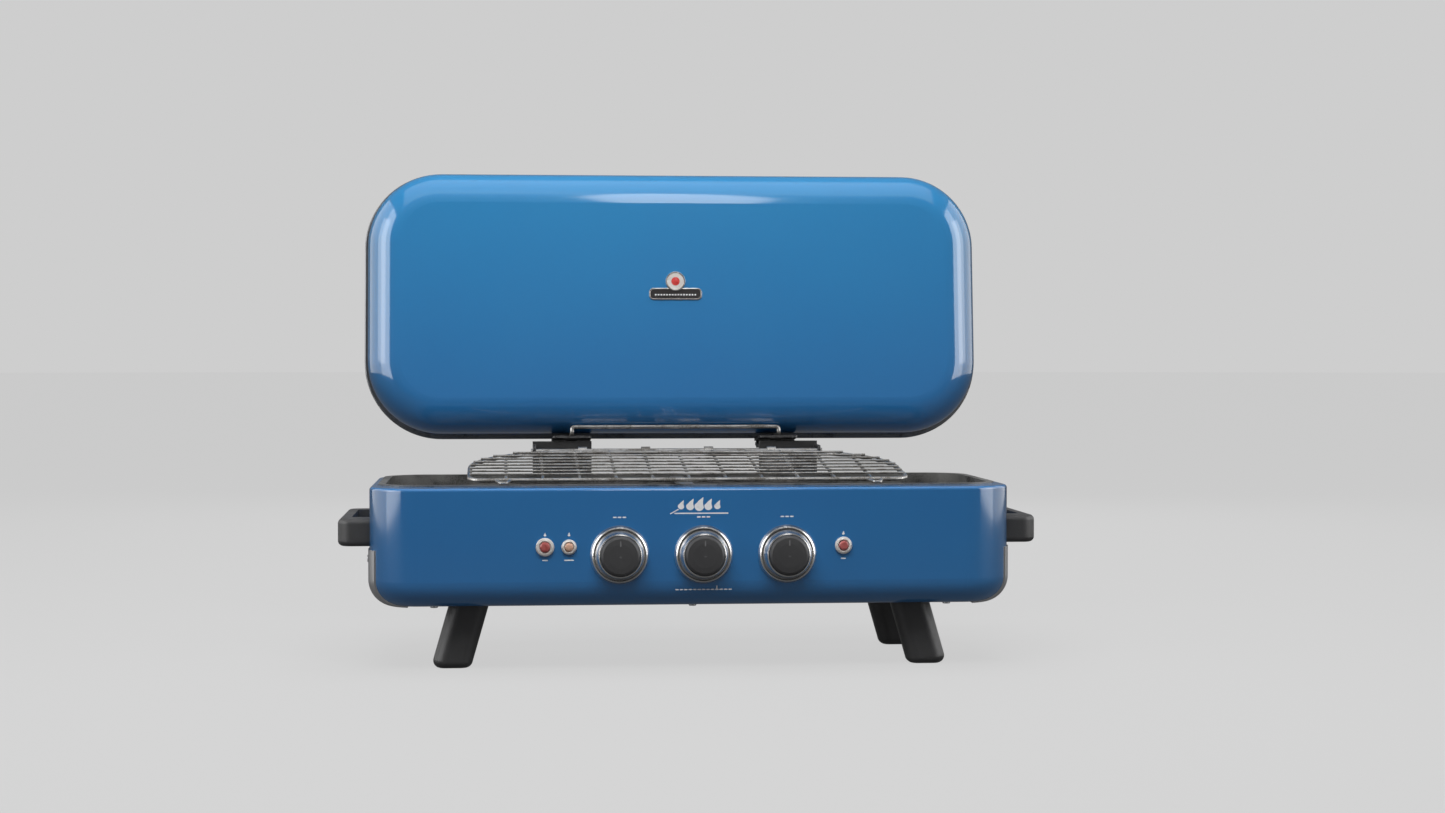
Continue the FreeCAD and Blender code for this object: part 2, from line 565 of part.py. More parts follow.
def button_body(key):
    x, ring_r = BUTTONS[key]
    bore = ring_r * 0.55 + HOOK_GAP
    depth = -10 - BUTTON_TRAVEL - 2
    profile = [(bore, -SHEET), (ring_r - 0.4, -SHEET), (ring_r - 0.4, -BUTTON_BODY_L), (0, -BUTTON_BODY_L),
               (0, depth), (bore, depth)]
    return turned(profile, x, Z_DECK - BUTTON_DROP)


def leaf_spans():
    """The lower leaf's two barrels and the upper leaf's one between them, as spans from the middle."""
    third = LEAF_UP_W / 3
    a, b = LEAF_IN + third, LEAF_IN + 2 * third
    return [(LEAF_IN, a - 0.25), (b + 0.25, LEAF_IN + LEAF_UP_W)], (a + 0.25, b - 0.25)


def hinge_leaf_lower(side):
    low, _ = leaf_spans()
    plate = box(LEAF_IN, LEAF_IN + LEAF_LOW_W, Y_REAR, Y_REAR + LEAF_T,
                Z_DECK - LEAF_DOWN, Z_SEAT - SEAT_GAP / 2)
    plate = plate.makeFillet(6.0, [e for e in long_edges(plate, "Y") if e.CenterOfMass.z < Z_DECK])
    adds, cuts = [], []
    for x0, x1 in low:
        adds.append(box(x0, x1, Y_REAR + LEAF_T, HINGE_Y, HINGE_Z - 3, HINGE_Z))
        adds.append(rod((x0, HINGE_Y, HINGE_Z), (x1, HINGE_Y, HINGE_Z), BARREL_R))
    x_tab = LEAF_IN + LEAF_LOW_W
    tab = box(x_tab - 3, x_tab, RAIL_Y - 6, Y_REAR, RAIL_Z - 7, RAIL_Z + 6)
    tab = tab.makeFillet(4.0, [e for e in long_edges(tab, "X") if e.CenterOfMass.y < RAIL_Y])
    adds.append(tab)
    cuts.append(rod((LEAF_IN - 5, HINGE_Y, HINGE_Z), (x_tab, HINGE_Y, HINGE_Z), HINGE_PIN_R))
    cuts.append(rod((LEAF_IN - 5, RAIL_Y, RAIL_Z), (x_tab + 5, RAIL_Y, RAIL_Z), RAIL_R))
    for x in HINGE_SCREW_X:
        cuts.append(rod((x, Y_REAR - 5, HINGE_SCREW_Z), (x, Y_REAR + 5, HINGE_SCREW_Z), SCREW_R))
    leaf = plate.fuse(adds).cut(cuts)
    return leaf if side == 1 else leaf.mirror(V(0, 0, 0), V(1, 0, 0))


def hinge_leaf_upper(side):
    """Plate under the lid's lower wall, with a barrel below and a lip behind the lid's rim."""
    _, (x0, x1) = leaf_spans()
    seat = box(LEAF_IN, LEAF_IN + LEAF_UP_W, SEAT_Y0, LIP_Y + SEAT_T, Z_SEAT, Z_SEAT + SEAT_T)
    seat = seat.makeFillet(4.0, [e for e in long_edges(seat, "Z") if e.CenterOfMass.y < Y_REAR])
    lip = box(LEAF_IN, LEAF_IN + LEAF_UP_W, LIP_Y, LIP_Y + SEAT_T,
              Z_SEAT + SEAT_T, Z_SEAT + SEAT_T + LIP_UP)
    lip = lip.makeFillet(4.0, [e for e in long_edges(lip, "Y") if e.CenterOfMass.z > Z_SEAT + SEAT_T + 1])
    web = box(x0, x1, HINGE_Y - 2, HINGE_Y + 2, HINGE_Z, Z_SEAT)
    barrel = rod((x0, HINGE_Y, HINGE_Z), (x1, HINGE_Y, HINGE_Z), BARREL_R)
    bore = rod((x0 - 1, HINGE_Y, HINGE_Z), (x1 + 1, HINGE_Y, HINGE_Z), HINGE_PIN_R + RUN_FIT)
    leaf = seat.fuse([lip, web, barrel]).cut(bore)
    return leaf if side == 1 else leaf.mirror(V(0, 0, 0), V(1, 0, 0))


def hinge_pin(side):
    x0, x1 = sorted((side * (LEAF_IN - 1), side * (LEAF_IN + LEAF_UP_W + 1)))
    return rod((x0, HINGE_Y, HINGE_Z), (x1, HINGE_Y, HINGE_Z), HINGE_PIN_R)


def rear_rail():
    half = LEAF_IN + LEAF_LOW_W + 2
    return rod((-half, RAIL_Y, RAIL_Z), (half, RAIL_Y, RAIL_Z), RAIL_R)


def wire_path(points, bend, radius):
    """A round wire along straight runs joined by arcs of one bend radius."""
    points = [V(*p) for p in points]
    edges, at = [], points[0]
    for before, here, after in zip(points, points[1:], points[2:]):
        a, b = (here - before).normalize(), (after - here).normalize()
        half = a.getAngle(b) / 2
        cut = bend * tan(half)
        first, last = here - a * cut, here + b * cut
        middle = here + (b - a).normalize() * (bend / cos(half) - bend)
        edges.append(Part.LineSegment(at, first).toShape())
        edges.append(Part.Arc(first, middle, last).toShape())
        at = last
    edges.append(Part.LineSegment(at, points[-1]).toShape())
    path = Part.Wire(edges)
    way = points[1] - points[0]
    ring = Part.Wire(Part.makeCircle(radius, points[0], way))
    return path.makePipeShell([ring], True, False)


def cradle_front():
    """Where the cradle's front run stands: just clear of the lid's round lower edge."""
    z = LID_Z0 + CRADLE_UP - CRADLE_R
    centre_y, centre_z = LID_Y0 + LID_EDGE, LID_Z0 + LID_EDGE
    away = LID_EDGE + SEAT_GAP + CRADLE_R
    return centre_y - sqrt(away ** 2 - (centre_z - z) ** 2), z


def lid_cradle():
    x = LEAF_IN + LEAF_UP_W / 2
    y, z = cradle_front()
    back = LID_Y0 + LID_DEEP - RIM_DEEP - 2
    points = [(-x, back, Z_CRADLE), (-x, y, Z_CRADLE), (-x, y, z),
              (x, y, z), (x, y, Z_CRADLE), (x, back, Z_CRADLE)]
    return wire_path(points, (z - Z_CRADLE) * 0.45, CRADLE_R)


def lid_form(inset, depth0, depth1):
    """The lid's form: corners round in the face, and a soft edge all round the face."""
    shape = box(-LID_W / 2 + inset, LID_W / 2 - inset, LID_Y0 + depth0, LID_Y0 + depth1,
                LID_Z0 + inset, LID_Z0 + LID_H - inset)
    shape = shape.makeFillet(LID_CORNER - inset, long_edges(shape, "Y"))
    return shape


def lid_shell():
    outer = lid_form(0.0, 0.0, LID_DEEP)
    outer = outer.makeFillet(LID_EDGE, flat_edges(outer, "Y", LID_Y0))
    inner = lid_form(LID_T, LID_T, LID_DEEP + 5)
    inner = inner.makeFillet(LID_EDGE - LID_T, flat_edges(inner, "Y", LID_Y0 + LID_T))
    return outer.cut(inner)


def lid_rim():
    """A folded bead over the lid's edge."""
    outer = lid_form(-RIM_PROUD, LID_DEEP - RIM_DEEP, LID_DEEP + RIM_COVER)
    rounds = flat_edges(outer, "Y", LID_Y0 + LID_DEEP + RIM_COVER)
    rounds += flat_edges(outer, "Y", LID_Y0 + LID_DEEP - RIM_DEEP)
    outer = outer.makeFillet(1.4, rounds)
    inner = lid_form(LID_T + 1.0, LID_DEEP - RIM_DEEP - 1, LID_DEEP + RIM_COVER + 1)
    wall = lid_form(0.0, 0.0, LID_DEEP).cut(lid_form(LID_T, -1.0, LID_DEEP + 1))
    return outer.cut([inner, wall])


def badge_bar():
    w, h = BADGE_BAR
    z = LID_Z0 + LID_H / 2 + BADGE_UP
    bar = box(-w / 2, w / 2, LID_Y0 - BADGE_T, LID_Y0, z - h / 2, z + h / 2)
    bar = bar.makeFillet(h * 0.36, long_edges(bar, "Y"))
    bar = bar.makeFillet(0.6, flat_edges(bar, "Y", LID_Y0 - BADGE_T))
    z = badge_disc_height()
    return bar.cut(rod((0, LID_Y0 - 5, z), (0, LID_Y0 + 1, z), BADGE_R + BADGE_GAP))


def badge_disc_height():
    return LID_Z0 + LID_H / 2 + BADGE_UP + BADGE_BAR[1] / 2 + BADGE_R - BADGE_LAP


def badge_disc():
    z = badge_disc_height()
    t = BADGE_T + 0.6
    profile = [(0, 0), (BADGE_R, 0), (BADGE_R, t - 0.8), (BADGE_R - 0.8, t), (BADGE_R - 2, t),
               (BADGE_R - 2.6, t - 0.7), (0, t - 0.4)]
    return turned(profile, 0.0, z, LID_Y0)


def rack_half_width(s):
    """Half the rack's width at a distance s in front of the rail, along the rack."""
    front = RACK_DEPTH - s
    half = RACK_W / 2
    if s < RACK_REAR_R:
        return half - RACK_REAR_R + sqrt(RACK_REAR_R ** 2 - (RACK_REAR_R - s) ** 2)
    if front < RACK_FRONT_R:
        return half - RACK_FRONT_R + sqrt(RACK_FRONT_R ** 2 - (RACK_FRONT_R - front) ** 2)
    return half


def rack_frame():
    half, depth, big, small = RACK_W / 2, RACK_DEPTH, RACK_REAR_R, RACK_FRONT_R
    start = RACK_FRAME_START
    pieces = [rod((big - half, -start, 0), (half - big, -start, 0), RACK_FRAME_R),
              rod((small - half, -depth, 0), (half - small, -depth, 0), RACK_FRAME_R)]
    for side in (-1, 1):
        pieces.append(rod((side * half, -start - big, 0), (side * half, small - depth, 0), RACK_FRAME_R))
        for r, y, turn in ((big, -start - big, 0), (small, small - depth, 1)):
            ring = Part.makeTorus(r, RACK_FRAME_R, V(side * (half - r), y, 0), V(0, 0, 1))
            x0, x1 = sorted((side * (half - r), side * (half + 10)))
            y0, y1 = (y, y + r + 10) if turn == 0 else (y - r - 10, y)
            pieces.append(ring.common(box(x0, x1, y0, y1, -10, 10)))
    return pieces


def cooking_rack():
    """Frame, long wires on it, cross wires under them, clips over the rail and two front feet.
    It is drawn flat with the rail at the origin, then tipped and set in place."""
    pieces = rack_frame()
    start = RACK_FRAME_START
    pitch = (RACK_DEPTH - start) / (RACK_WIRES + 1)
    top = RACK_FRAME_R + RACK_WIRE_R - WELD
    for i in range(1, RACK_WIRES + 1):
        s = start + i * pitch
        half = rack_half_width(s - start if s - start < RACK_REAR_R else s)
        pieces.append(rod((-half, -s, top), (half, -s, top), RACK_WIRE_R))
    low = top - RACK_WIRE_R - RACK_CROSS_R + CROSS_WELD
    spread = RACK_W - 2 * RACK_REAR_R
    for i in range(RACK_CROSSES):
        x = -RACK_W / 2 + RACK_W * (i + 1) / (RACK_CROSSES + 1)
        beyond = max(0.0, abs(x) - spread / 2)
        rear = start + RACK_REAR_R - sqrt(max(RACK_REAR_R ** 2 - beyond ** 2, 0.0))
        pieces.append(rod((x, -rear, low), (x, -RACK_DEPTH, low), RACK_CROSS_R))
    for x in HOOK_X:
        inside = RAIL_R + HOOK_GAP
        clip = tube((x - HOOK_L / 2, 0, 0), (x + HOOK_L / 2, 0, 0), inside + HOOK_WALL, inside)
        gap = box(x - HOOK_L, x + HOOK_L, -1.5, 12, -12, 0)
        pieces.append(clip.cut(gap))
    rack = pieces[0].multiFuse(pieces[1:])
    rack.rotate(V(0, 0, 0), V(1, 0, 0), RACK_RISE)
    rack.translate(V(0, RAIL_Y, RAIL_Z))
    return rack.fuse(rack_feet())


def rack_feet():
    """A bent wire at each front corner, standing on the bowl's lip."""
    front_y = RAIL_Y - RACK_DEPTH * cos(radians(RACK_RISE))
    front_z = RAIL_Z - RACK_DEPTH * sin(radians(RACK_RISE))
    lip_z = Z_DECK + BOWL_SHEET + RACK_CROSS_R + 0.2
    lip_y = BOWL_Y0 - BOWL_LIP / 2
    feet = []
    for side in (-1, 1):
        x = side * FOOT_X
        points = [(x - 7, front_y, front_z), (x - 3, lip_y, lip_z),
                  (x + 3, lip_y, lip_z), (x + 7, front_y, front_z)]
        feet.append(wire_path(points, 2.2, RACK_CROSS_R))
    return feet


def body_screws():
    screws = [screw((x, y, Z_BOTTOM), (0, 0, 1), 3.6, 1.8, SCREW_R, SHEET + PLATE + 3)
              for x, y in PLATE_SCREWS]
    for side, y in GUARD_SCREWS:
        screws.append(screw((side * (BASE_W / 2 + GUARD), y, GUARD_SCREW_Z), (-side, 0, 0),
                            3.4, 1.4, SCREW_R, GUARD + SHEET + 2))
    return screws


def handle_screws():
    return [screw((side * (BASE_W / 2 - SHEET), y, HANDLE_Z), (side, 0, 0), 4.2, 2.2, SCREW_R, 12.0)
            for side, y in HANDLE_SCREWS]


def hinge_screws():
    return [screw((side * x, Y_REAR + LEAF_T, HINGE_SCREW_Z), (0, -1, 0),
                  4.2, 2.2, SCREW_R, LEAF_T + SHEET + 3)
            for side in (-1, 1) for x in HINGE_SCREW_X]


def add(name, shape):
    """Keep one sub-part: a solid, or a group of separate solids."""
    if isinstance(shape, list):
        shape = Part.makeCompound([s for part in shape for s in part.Solids])
    NODES[name] = shape


def leaned(shape):
    """A piece of the cradle or lid, tipped back from plumb about the hinge pins."""
    shape = shape.copy()
    shape.rotate(V(0, HINGE_Y, HINGE_Z), V(1, 0, 0), -LID_LEAN)
    return shape


add("base_shell", base_shell())
add("firebox_bowl", firebox_bowl())
add("bottom_plate", bottom_plate())
add("body_screws", body_screws())
add("handle_screws", handle_screws())
add("hinge_screws", hinge_screws())
for word, side in (("left", -1), ("right", 1)):
    add("side_guard_" + word, side_guard(side))
    add("handle_" + word, handle(side))
    add("hinge_leaf_lower_" + word, hinge_leaf_lower(side))
    add("hinge_leaf_upper_" + word, leaned(hinge_leaf_upper(side)))
add("hinge_pins", [hinge_pin(-1), hinge_pin(1)])
for name in LEGS:
    add("leg_" + name, leg(name))
add("leg_brackets", [p for name in LEGS for p in leg_bracket(name)])
add("leg_pins", [leg_pin(name) for name in LEGS])
for name, x in KNOBS.items():
    add("burner_" + name, burner(x))
    add("knob_skirt_" + name, knob_skirt(x))
    add("knob_cap_" + name, knob_cap(x))
    add("valve_stem_" + name, valve_stem(x))
add("control_bezels", [bezel(x) for x in KNOBS.values()])
add("valve_bodies", [valve_body(x) for x in KNOBS.values()])
add("flame_tamers", [flame_tamer(x) for x in KNOBS.values()])
add("gas_manifold", gas_manifold())
add("inlet_fitting", inlet_fitting())
add("centre_bar", centre_bar())
add("grease_tray", grease_tray())
add("tray_runners", [tray_runner(-1), tray_runner(1)])
for key in BUTTONS:
    add("button_cap_" + key, button_cap(key))
add("button_rings", [button_ring(key) for key in BUTTONS])
add("button_bodies", [button_body(key) for key in BUTTONS])
add("rear_rail", rear_rail())
add("cooking_rack", cooking_rack())
add("lid_cradle", leaned(lid_cradle()))
add("lid_shell", leaned(lid_shell()))
add("lid_rim", leaned(lid_rim()))
add("lid_badge_bar", leaned(badge_bar()))
add("lid_badge_disc", leaned(badge_disc()))

if __name__ == "__main__":
    os.makedirs("parts", exist_ok=True)
    for name, shape in NODES.items():
        assert shape.isValid(), name
        shape.exportStep("parts/" + name + ".step")
    print(len(NODES), "sub-parts")
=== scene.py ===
"""Finishes, panel marks, badge and studio of the camp grill with the stand-up lid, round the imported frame."""
import math

import bpy
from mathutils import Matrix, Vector


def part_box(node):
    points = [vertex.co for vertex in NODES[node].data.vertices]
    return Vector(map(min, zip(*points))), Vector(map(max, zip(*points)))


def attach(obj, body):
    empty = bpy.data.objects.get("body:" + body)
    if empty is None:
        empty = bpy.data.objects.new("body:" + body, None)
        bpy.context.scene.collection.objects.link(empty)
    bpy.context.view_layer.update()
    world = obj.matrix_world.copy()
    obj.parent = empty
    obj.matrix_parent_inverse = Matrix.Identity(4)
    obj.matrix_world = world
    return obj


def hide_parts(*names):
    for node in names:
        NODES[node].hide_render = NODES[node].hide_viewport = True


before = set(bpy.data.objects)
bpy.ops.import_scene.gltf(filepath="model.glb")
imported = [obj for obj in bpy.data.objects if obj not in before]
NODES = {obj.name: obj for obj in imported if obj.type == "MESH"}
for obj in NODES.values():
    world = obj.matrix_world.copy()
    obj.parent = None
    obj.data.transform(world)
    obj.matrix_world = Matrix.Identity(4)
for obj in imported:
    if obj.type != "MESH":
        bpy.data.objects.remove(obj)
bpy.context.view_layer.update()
MM = 0.001

# ---------------------------------------------------------------- places read from the frame

PANEL_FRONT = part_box("base_shell")[0].y
PANEL_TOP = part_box("base_shell")[1].z
BEZEL_LOW, BEZEL_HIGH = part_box("control_bezels")
KNOB_Z = (BEZEL_LOW.z + BEZEL_HIGH.z) / 2
BEZEL_RADIUS = (BEZEL_HIGH.z - BEZEL_LOW.z) / 2


def middle(node):
    """The middle of a frame part."""
    low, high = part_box(node)
    return (low + high) / 2


KNOB_X = [middle(f"knob_skirt_{side}").x for side in ("left", "centre", "right")]
KNOB_PITCH = KNOB_X[1] - KNOB_X[0]
BUTTON_AT = [middle(f"button_cap_{side}") for side in ("left", "middle", "right")]
LID_LEAN = math.radians(6)
LID_OUT = Vector((0, -math.cos(LID_LEAN), math.sin(LID_LEAN)))

# ---------------------------------------------------------------- colours

ENAMEL_DEEP = (0.022, 0.142, 0.385, 1)
# the enamel's painted lit colour, which it takes towards the top of the grill
ENAMEL_PAINTED_LIT = (0.016, 0.262, 0.530, 1)
ENAMEL_RUBBED = (0.10, 0.24, 0.42, 1)
BOWL_DARK = (0.062, 0.062, 0.062, 1)
BOWL_ASH = (0.170, 0.168, 0.160, 1)
BOWL_WORN = (0.16, 0.16, 0.165, 1)
BOWL_SOOT = (0.012, 0.011, 0.010, 1)
POWDER_BLACK = (0.012, 0.012, 0.013, 1)
POWDER_GREY = (0.030, 0.030, 0.031, 1)
STEEL_BRIGHT = (0.60, 0.60, 0.61, 1)
STEEL_DULL = (0.36, 0.36, 0.37, 1)
RIM_DARK = (0.100, 0.103, 0.108, 1)
RIM_GREY = (0.240, 0.245, 0.255, 1)
RIM_GRIME = (0.035, 0.033, 0.031, 1)
SHEET_GRIME = (0.20, 0.185, 0.165, 1)
BURNER_SOOT = (0.05, 0.045, 0.04, 1)
WIRE_GREY = (0.58, 0.57, 0.555, 1)
WIRE_DULL = (0.34, 0.332, 0.32, 1)
WIRE_GRIME = (0.13, 0.12, 0.108, 1)
# the turned knob metal's painted highlight, and below it its painted shade, swept round each knob
KNOB_SILVER_LIT = (0.78, 0.77, 0.76, 1)
KNOB_SHADE = (0.50, 0.50, 0.50, 1)
MOULDED_BLACK = (0.040, 0.040, 0.041, 1)
MOULDED_GREY = (0.066, 0.066, 0.068, 1)
CAP_BLACK = (0.040, 0.040, 0.042, 1)
CAP_GREY = (0.058, 0.058, 0.060, 1)
RING_WHITE = (0.74, 0.72, 0.70, 1)
RING_CREAM = (0.62, 0.58, 0.54, 1)
BUTTON_RED = (0.36, 0.060, 0.055, 1)
BUTTON_RED_PALE = (0.48, 0.13, 0.12, 1)
BUTTON_AMBER = (0.62, 0.33, 0.22, 1)
BUTTON_AMBER_PALE = (0.72, 0.45, 0.33, 1)
ZINC = (0.55, 0.56, 0.58, 1)
ZINC_DULL = (0.32, 0.33, 0.35, 1)
BRASS = (0.62, 0.42, 0.17, 1)
BRASS_TARNISH = (0.22, 0.13, 0.06, 1)
HEAT_STRAW = (0.50, 0.38, 0.22, 1)
HEAT_BLUE = (0.16, 0.17, 0.27, 1)
MARK_WHITE = (0.82, 0.84, 0.86, 1)
MARK_BRIGHT = (0.90, 0.91, 0.92, 1)
POINTER_DEEP = (0.13, 0.13, 0.135, 1)
POINTER_PALE = (0.20, 0.20, 0.205, 1)
INK_DEEP = (0.020, 0.018, 0.018, 1)
INK_PALE = (0.040, 0.036, 0.036, 1)
NICKEL = (0.70, 0.69, 0.67, 1)
NICKEL_DULL = (0.45, 0.44, 0.43, 1)
BADGE_RED = (0.55, 0.030, 0.030, 1)
BADGE_RED_PALE = (0.66, 0.06, 0.05, 1)
FLOOR_GREY = (0.06, 0.06, 0.06, 1)
STUDIO_GREY = 0.617  # the air as the camera sees it
AIR_DIM = 0.16  # the air as it lights the grill
FLOOR_SEEN = 0.585  # the floor's own glow as the camera sees it
FLOOR_DIM = 0.08  # the floor's own glow as it lights the grill

# ---------------------------------------------------------------- node groups

VECTOR_IN = ("Vector", "NodeSocketVector", None)
NIB_SCALE = 900.0  # dust nibs and fat specks, per metre
WEAR_RADIUS = 1.2 * MM  # how far from a corner handling rubs
ALONG_BRUSHING = (6.0, 700.0, 700.0)  # stretches a pattern into lines along X
ALONG_SMEAR = (5.0, 22.0, 22.0)

def open_group(name, inputs, outputs):
    """A new shader node group with its sockets, and its two end nodes."""
    group = bpy.data.node_groups.new(name, "ShaderNodeTree")
    for label, kind, value in inputs:
        socket = group.interface.new_socket(label, in_out="INPUT", socket_type=kind)
        if value is not None:
            socket.default_value = value
    for label, kind in outputs:
        group.interface.new_socket(label, in_out="OUTPUT", socket_type=kind)
    return group, group.nodes.new("NodeGroupInput"), group.nodes.new("NodeGroupOutput")


def feed(tree, node, **wires):
    """Sets or wires a node's inputs by name, with _ for a space."""
    for label, value in wires.items():
        label = label.replace("_", " ")
        socket = node.inputs[int(label[1:])] if label[1:].isdigit() else node.inputs[label]
        if isinstance(value, bpy.types.NodeSocket):
            tree.links.new(value, socket)
        else:
            socket.default_value = value
    return node


def sums(tree, operation, first, second=0.0, third=None, clamp=False):
    """One Math node, and its result."""
    node = tree.nodes.new("ShaderNodeMath")
    node.operation = operation
    node.use_clamp = clamp
    feed(tree, node, i0=first, i1=second)
    if third is not None:
        feed(tree, node, i2=third)
    return node.outputs[0]


def noise(tree, vector, scale, detail=2.0, roughness=0.5, distortion=0.0):
    node = tree.nodes.new("ShaderNodeTexNoise")
    feed(tree, node, Vector=vector, Scale=scale, Detail=detail, Roughness=roughness, Distortion=distortion)
    return node.outputs["Fac"]


def between(tree, value, low, high, out_low=0.0, out_high=1.0):
    """Stretches a value from one range to another, and stops at its ends."""
    node = tree.nodes.new("ShaderNodeMapRange")
    feed(tree, node, Value=value, From_Min=low, From_Max=high, To_Min=out_low, To_Max=out_high)
    return node.outputs[0]


def stretched(tree, vector, sizes):
    node = tree.nodes.new("ShaderNodeVectorMath")
    node.operation = "MULTIPLY"
    feed(tree, node, i0=vector, i1=sizes)
    return node.outputs[0]


def make_mottle():
    """Slow cloudy change over a surface."""
    tree, start, end = open_group(
        "cloudy_mottle",
        [VECTOR_IN, ("Scale", "NodeSocketFloat", 8.0), ("Contrast", "NodeSocketFloat", 0.5)],
        [("Mask", "NodeSocketFloat")],
    )
    cloud = noise(tree, start.outputs["Vector"], start.outputs["Scale"], 4.0, 0.55)
    low = sums(tree, "MULTIPLY_ADD", start.outputs["Contrast"], -0.25, 0.5)
    high = sums(tree, "MULTIPLY_ADD", start.outputs["Contrast"], 0.25, 0.5)
    tree.links.new(between(tree, cloud, low, high), end.inputs["Mask"])
    return tree


def make_orange_peel():
    """The fine waviness of sprayed enamel, with a few dust nibs."""
    tree, start, end = open_group(
        "enamel_peel",
        [VECTOR_IN, ("Scale", "NodeSocketFloat", 320.0), ("Nibs", "NodeSocketFloat", 0.2)],
        [("Height", "NodeSocketFloat")],
    )
    peel = noise(tree, start.outputs["Vector"], start.outputs["Scale"], 1.0, 0.4)
    nib = noise(tree, start.outputs["Vector"], NIB_SCALE, 0.0)
    nib = sums(tree, "MULTIPLY", between(tree, nib, 0.80, 0.86), start.outputs["Nibs"])
    tree.links.new(sums(tree, "ADD", peel, nib), end.inputs["Height"])
    return tree


def make_edge_wear():
    """Where handling rubs an edge: a mask that follows the corners and breaks up along them."""
    tree, start, end = open_group(
        "rubbed_edges",
        [VECTOR_IN, ("Scale", "NodeSocketFloat", 90.0), ("Amount", "NodeSocketFloat", 0.5)],
        [("Mask", "NodeSocketFloat")],
    )
    rounded = tree.nodes.new("ShaderNodeBevel")
    rounded.samples = 4
    feed(tree, rounded, Radius=WEAR_RADIUS)
    plain = tree.nodes.new("ShaderNodeNewGeometry")
    agree = tree.nodes.new("ShaderNodeVectorMath")
    agree.operation = "DOT_PRODUCT"
    feed(tree, agree, i0=rounded.outputs[0], i1=plain.outputs["Normal"])
    corner = between(tree, agree.outputs["Value"], 0.995, 0.86)
    broken = between(tree, noise(tree, start.outputs["Vector"], start.outputs["Scale"], 4.0, 0.65), 0.42, 0.62)
    worn = sums(tree, "MULTIPLY", corner, broken)
    tree.links.new(sums(tree, "MULTIPLY", worn, start.outputs["Amount"], clamp=True), end.inputs["Mask"])
    return tree


def make_grain():
    """The fine cast grain of a moulded plastic, or of powder paint."""
    tree, start, end = open_group(
        "moulded_grain",
        [VECTOR_IN, ("Scale", "NodeSocketFloat", 1400.0)],
        [("Height", "NodeSocketFloat")],
    )
    cell = tree.nodes.new("ShaderNodeTexVoronoi")
    cell.feature = "SMOOTH_F1"
    feed(tree, cell, Vector=start.outputs["Vector"], Scale=start.outputs["Scale"], Smoothness=0.6)
    drift = noise(tree, start.outputs["Vector"], 260.0, 3.0)
    tree.links.new(sums(tree, "MULTIPLY_ADD", drift, 0.5, cell.outputs["Distance"]), end.inputs["Height"])
    return tree


def make_brushing():
    """Straight brushing lines of rolled sheet, drawn out along X."""
    tree, start, end = open_group(
        "sheet_brushing",
        [VECTOR_IN, ("Fineness", "NodeSocketFloat", 1.0)],
        [("Lines", "NodeSocketFloat"), ("Smear", "NodeSocketFloat")],
    )
    drawn = stretched(tree, start.outputs["Vector"], ALONG_BRUSHING)
    lines = noise(tree, drawn, start.outputs["Fineness"], 3.0, 0.6)
    smear = noise(tree, stretched(tree, start.outputs["Vector"], ALONG_SMEAR), 1.0, 3.0)
    tree.links.new(lines, end.inputs["Lines"])
    tree.links.new(smear, end.inputs["Smear"])
    return tree


def make_turning_and_sheen():
    """Rings that a lathe leaves round each of the three knobs, at the knobs' pitch along the panel, and a
    painted highlight that sweeps twice round each knob.
    """
    tree, start, end = open_group(
        "lathe_rings_and_painted_sheen",
        [VECTOR_IN, ("Fineness", "NodeSocketFloat", 2600.0)],
        [("Rings", "NodeSocketFloat"), ("Painted_Sheen", "NodeSocketFloat")],
    )
    axes = tree.nodes.new("ShaderNodeSeparateXYZ")
    tree.links.new(start.outputs["Vector"], axes.inputs[0])
    along = sums(tree, "SUBTRACT", axes.outputs["X"], KNOB_X[1])
    along = sums(tree, "WRAP", along, KNOB_PITCH / 2, -KNOB_PITCH / 2)
    up = sums(tree, "SUBTRACT", axes.outputs["Z"], KNOB_Z)
    squares = sums(tree, "ADD", sums(tree, "POWER", along, 2.0), sums(tree, "POWER", up, 2.0))
    radius = sums(tree, "SQRT", squares)
    ring = tree.nodes.new("ShaderNodeTexNoise")
    ring.noise_dimensions = "1D"
    feed(tree, ring, W=radius, Scale=start.outputs["Fineness"], Detail=2.0)
    turn = sums(tree, "ARCTAN2", up, along)
    # painted highlight: lighter and darker by the angle round each knob, two lobes a turn
    painted_sheen = sums(tree, "MULTIPLY_ADD", sums(tree, "COSINE", sums(tree, "MULTIPLY", turn, 2.0)), 0.5, 0.5)
    tree.links.new(ring.outputs["Fac"], end.inputs["Rings"])
    tree.links.new(painted_sheen, end.inputs["Painted_Sheen"])
    return tree


def make_grime():
    """Baked-on fat and soot, in patches with a speckled edge."""
    tree, start, end = open_group(
        "baked_grime",
        [VECTOR_IN, ("Scale", "NodeSocketFloat", 40.0), ("Cover", "NodeSocketFloat", 0.5)],
        [("Mask", "NodeSocketFloat")],
    )
    patch = noise(tree, start.outputs["Vector"], start.outputs["Scale"], 5.0, 0.62, 0.4)
    speck = noise(tree, start.outputs["Vector"], NIB_SCALE, 2.0)
    mixed = sums(tree, "MULTIPLY_ADD", speck, 0.35, sums(tree, "MULTIPLY", patch, 0.75))
    low = sums(tree, "SUBTRACT", 0.76, sums(tree, "MULTIPLY", start.outputs["Cover"], 0.4))
    high = sums(tree, "ADD", low, 0.16)
    tree.links.new(between(tree, mixed, low, high), end.inputs["Mask"])
    return tree


MOTTLE = make_mottle()
PEEL = make_orange_peel()
WEAR = make_edge_wear()
GRAIN = make_grain()
BRUSH = make_brushing()
TURNED_AND_SHEEN = make_turning_and_sheen()
GRIME = make_grime()

# ---------------------------------------------------------------- finishes


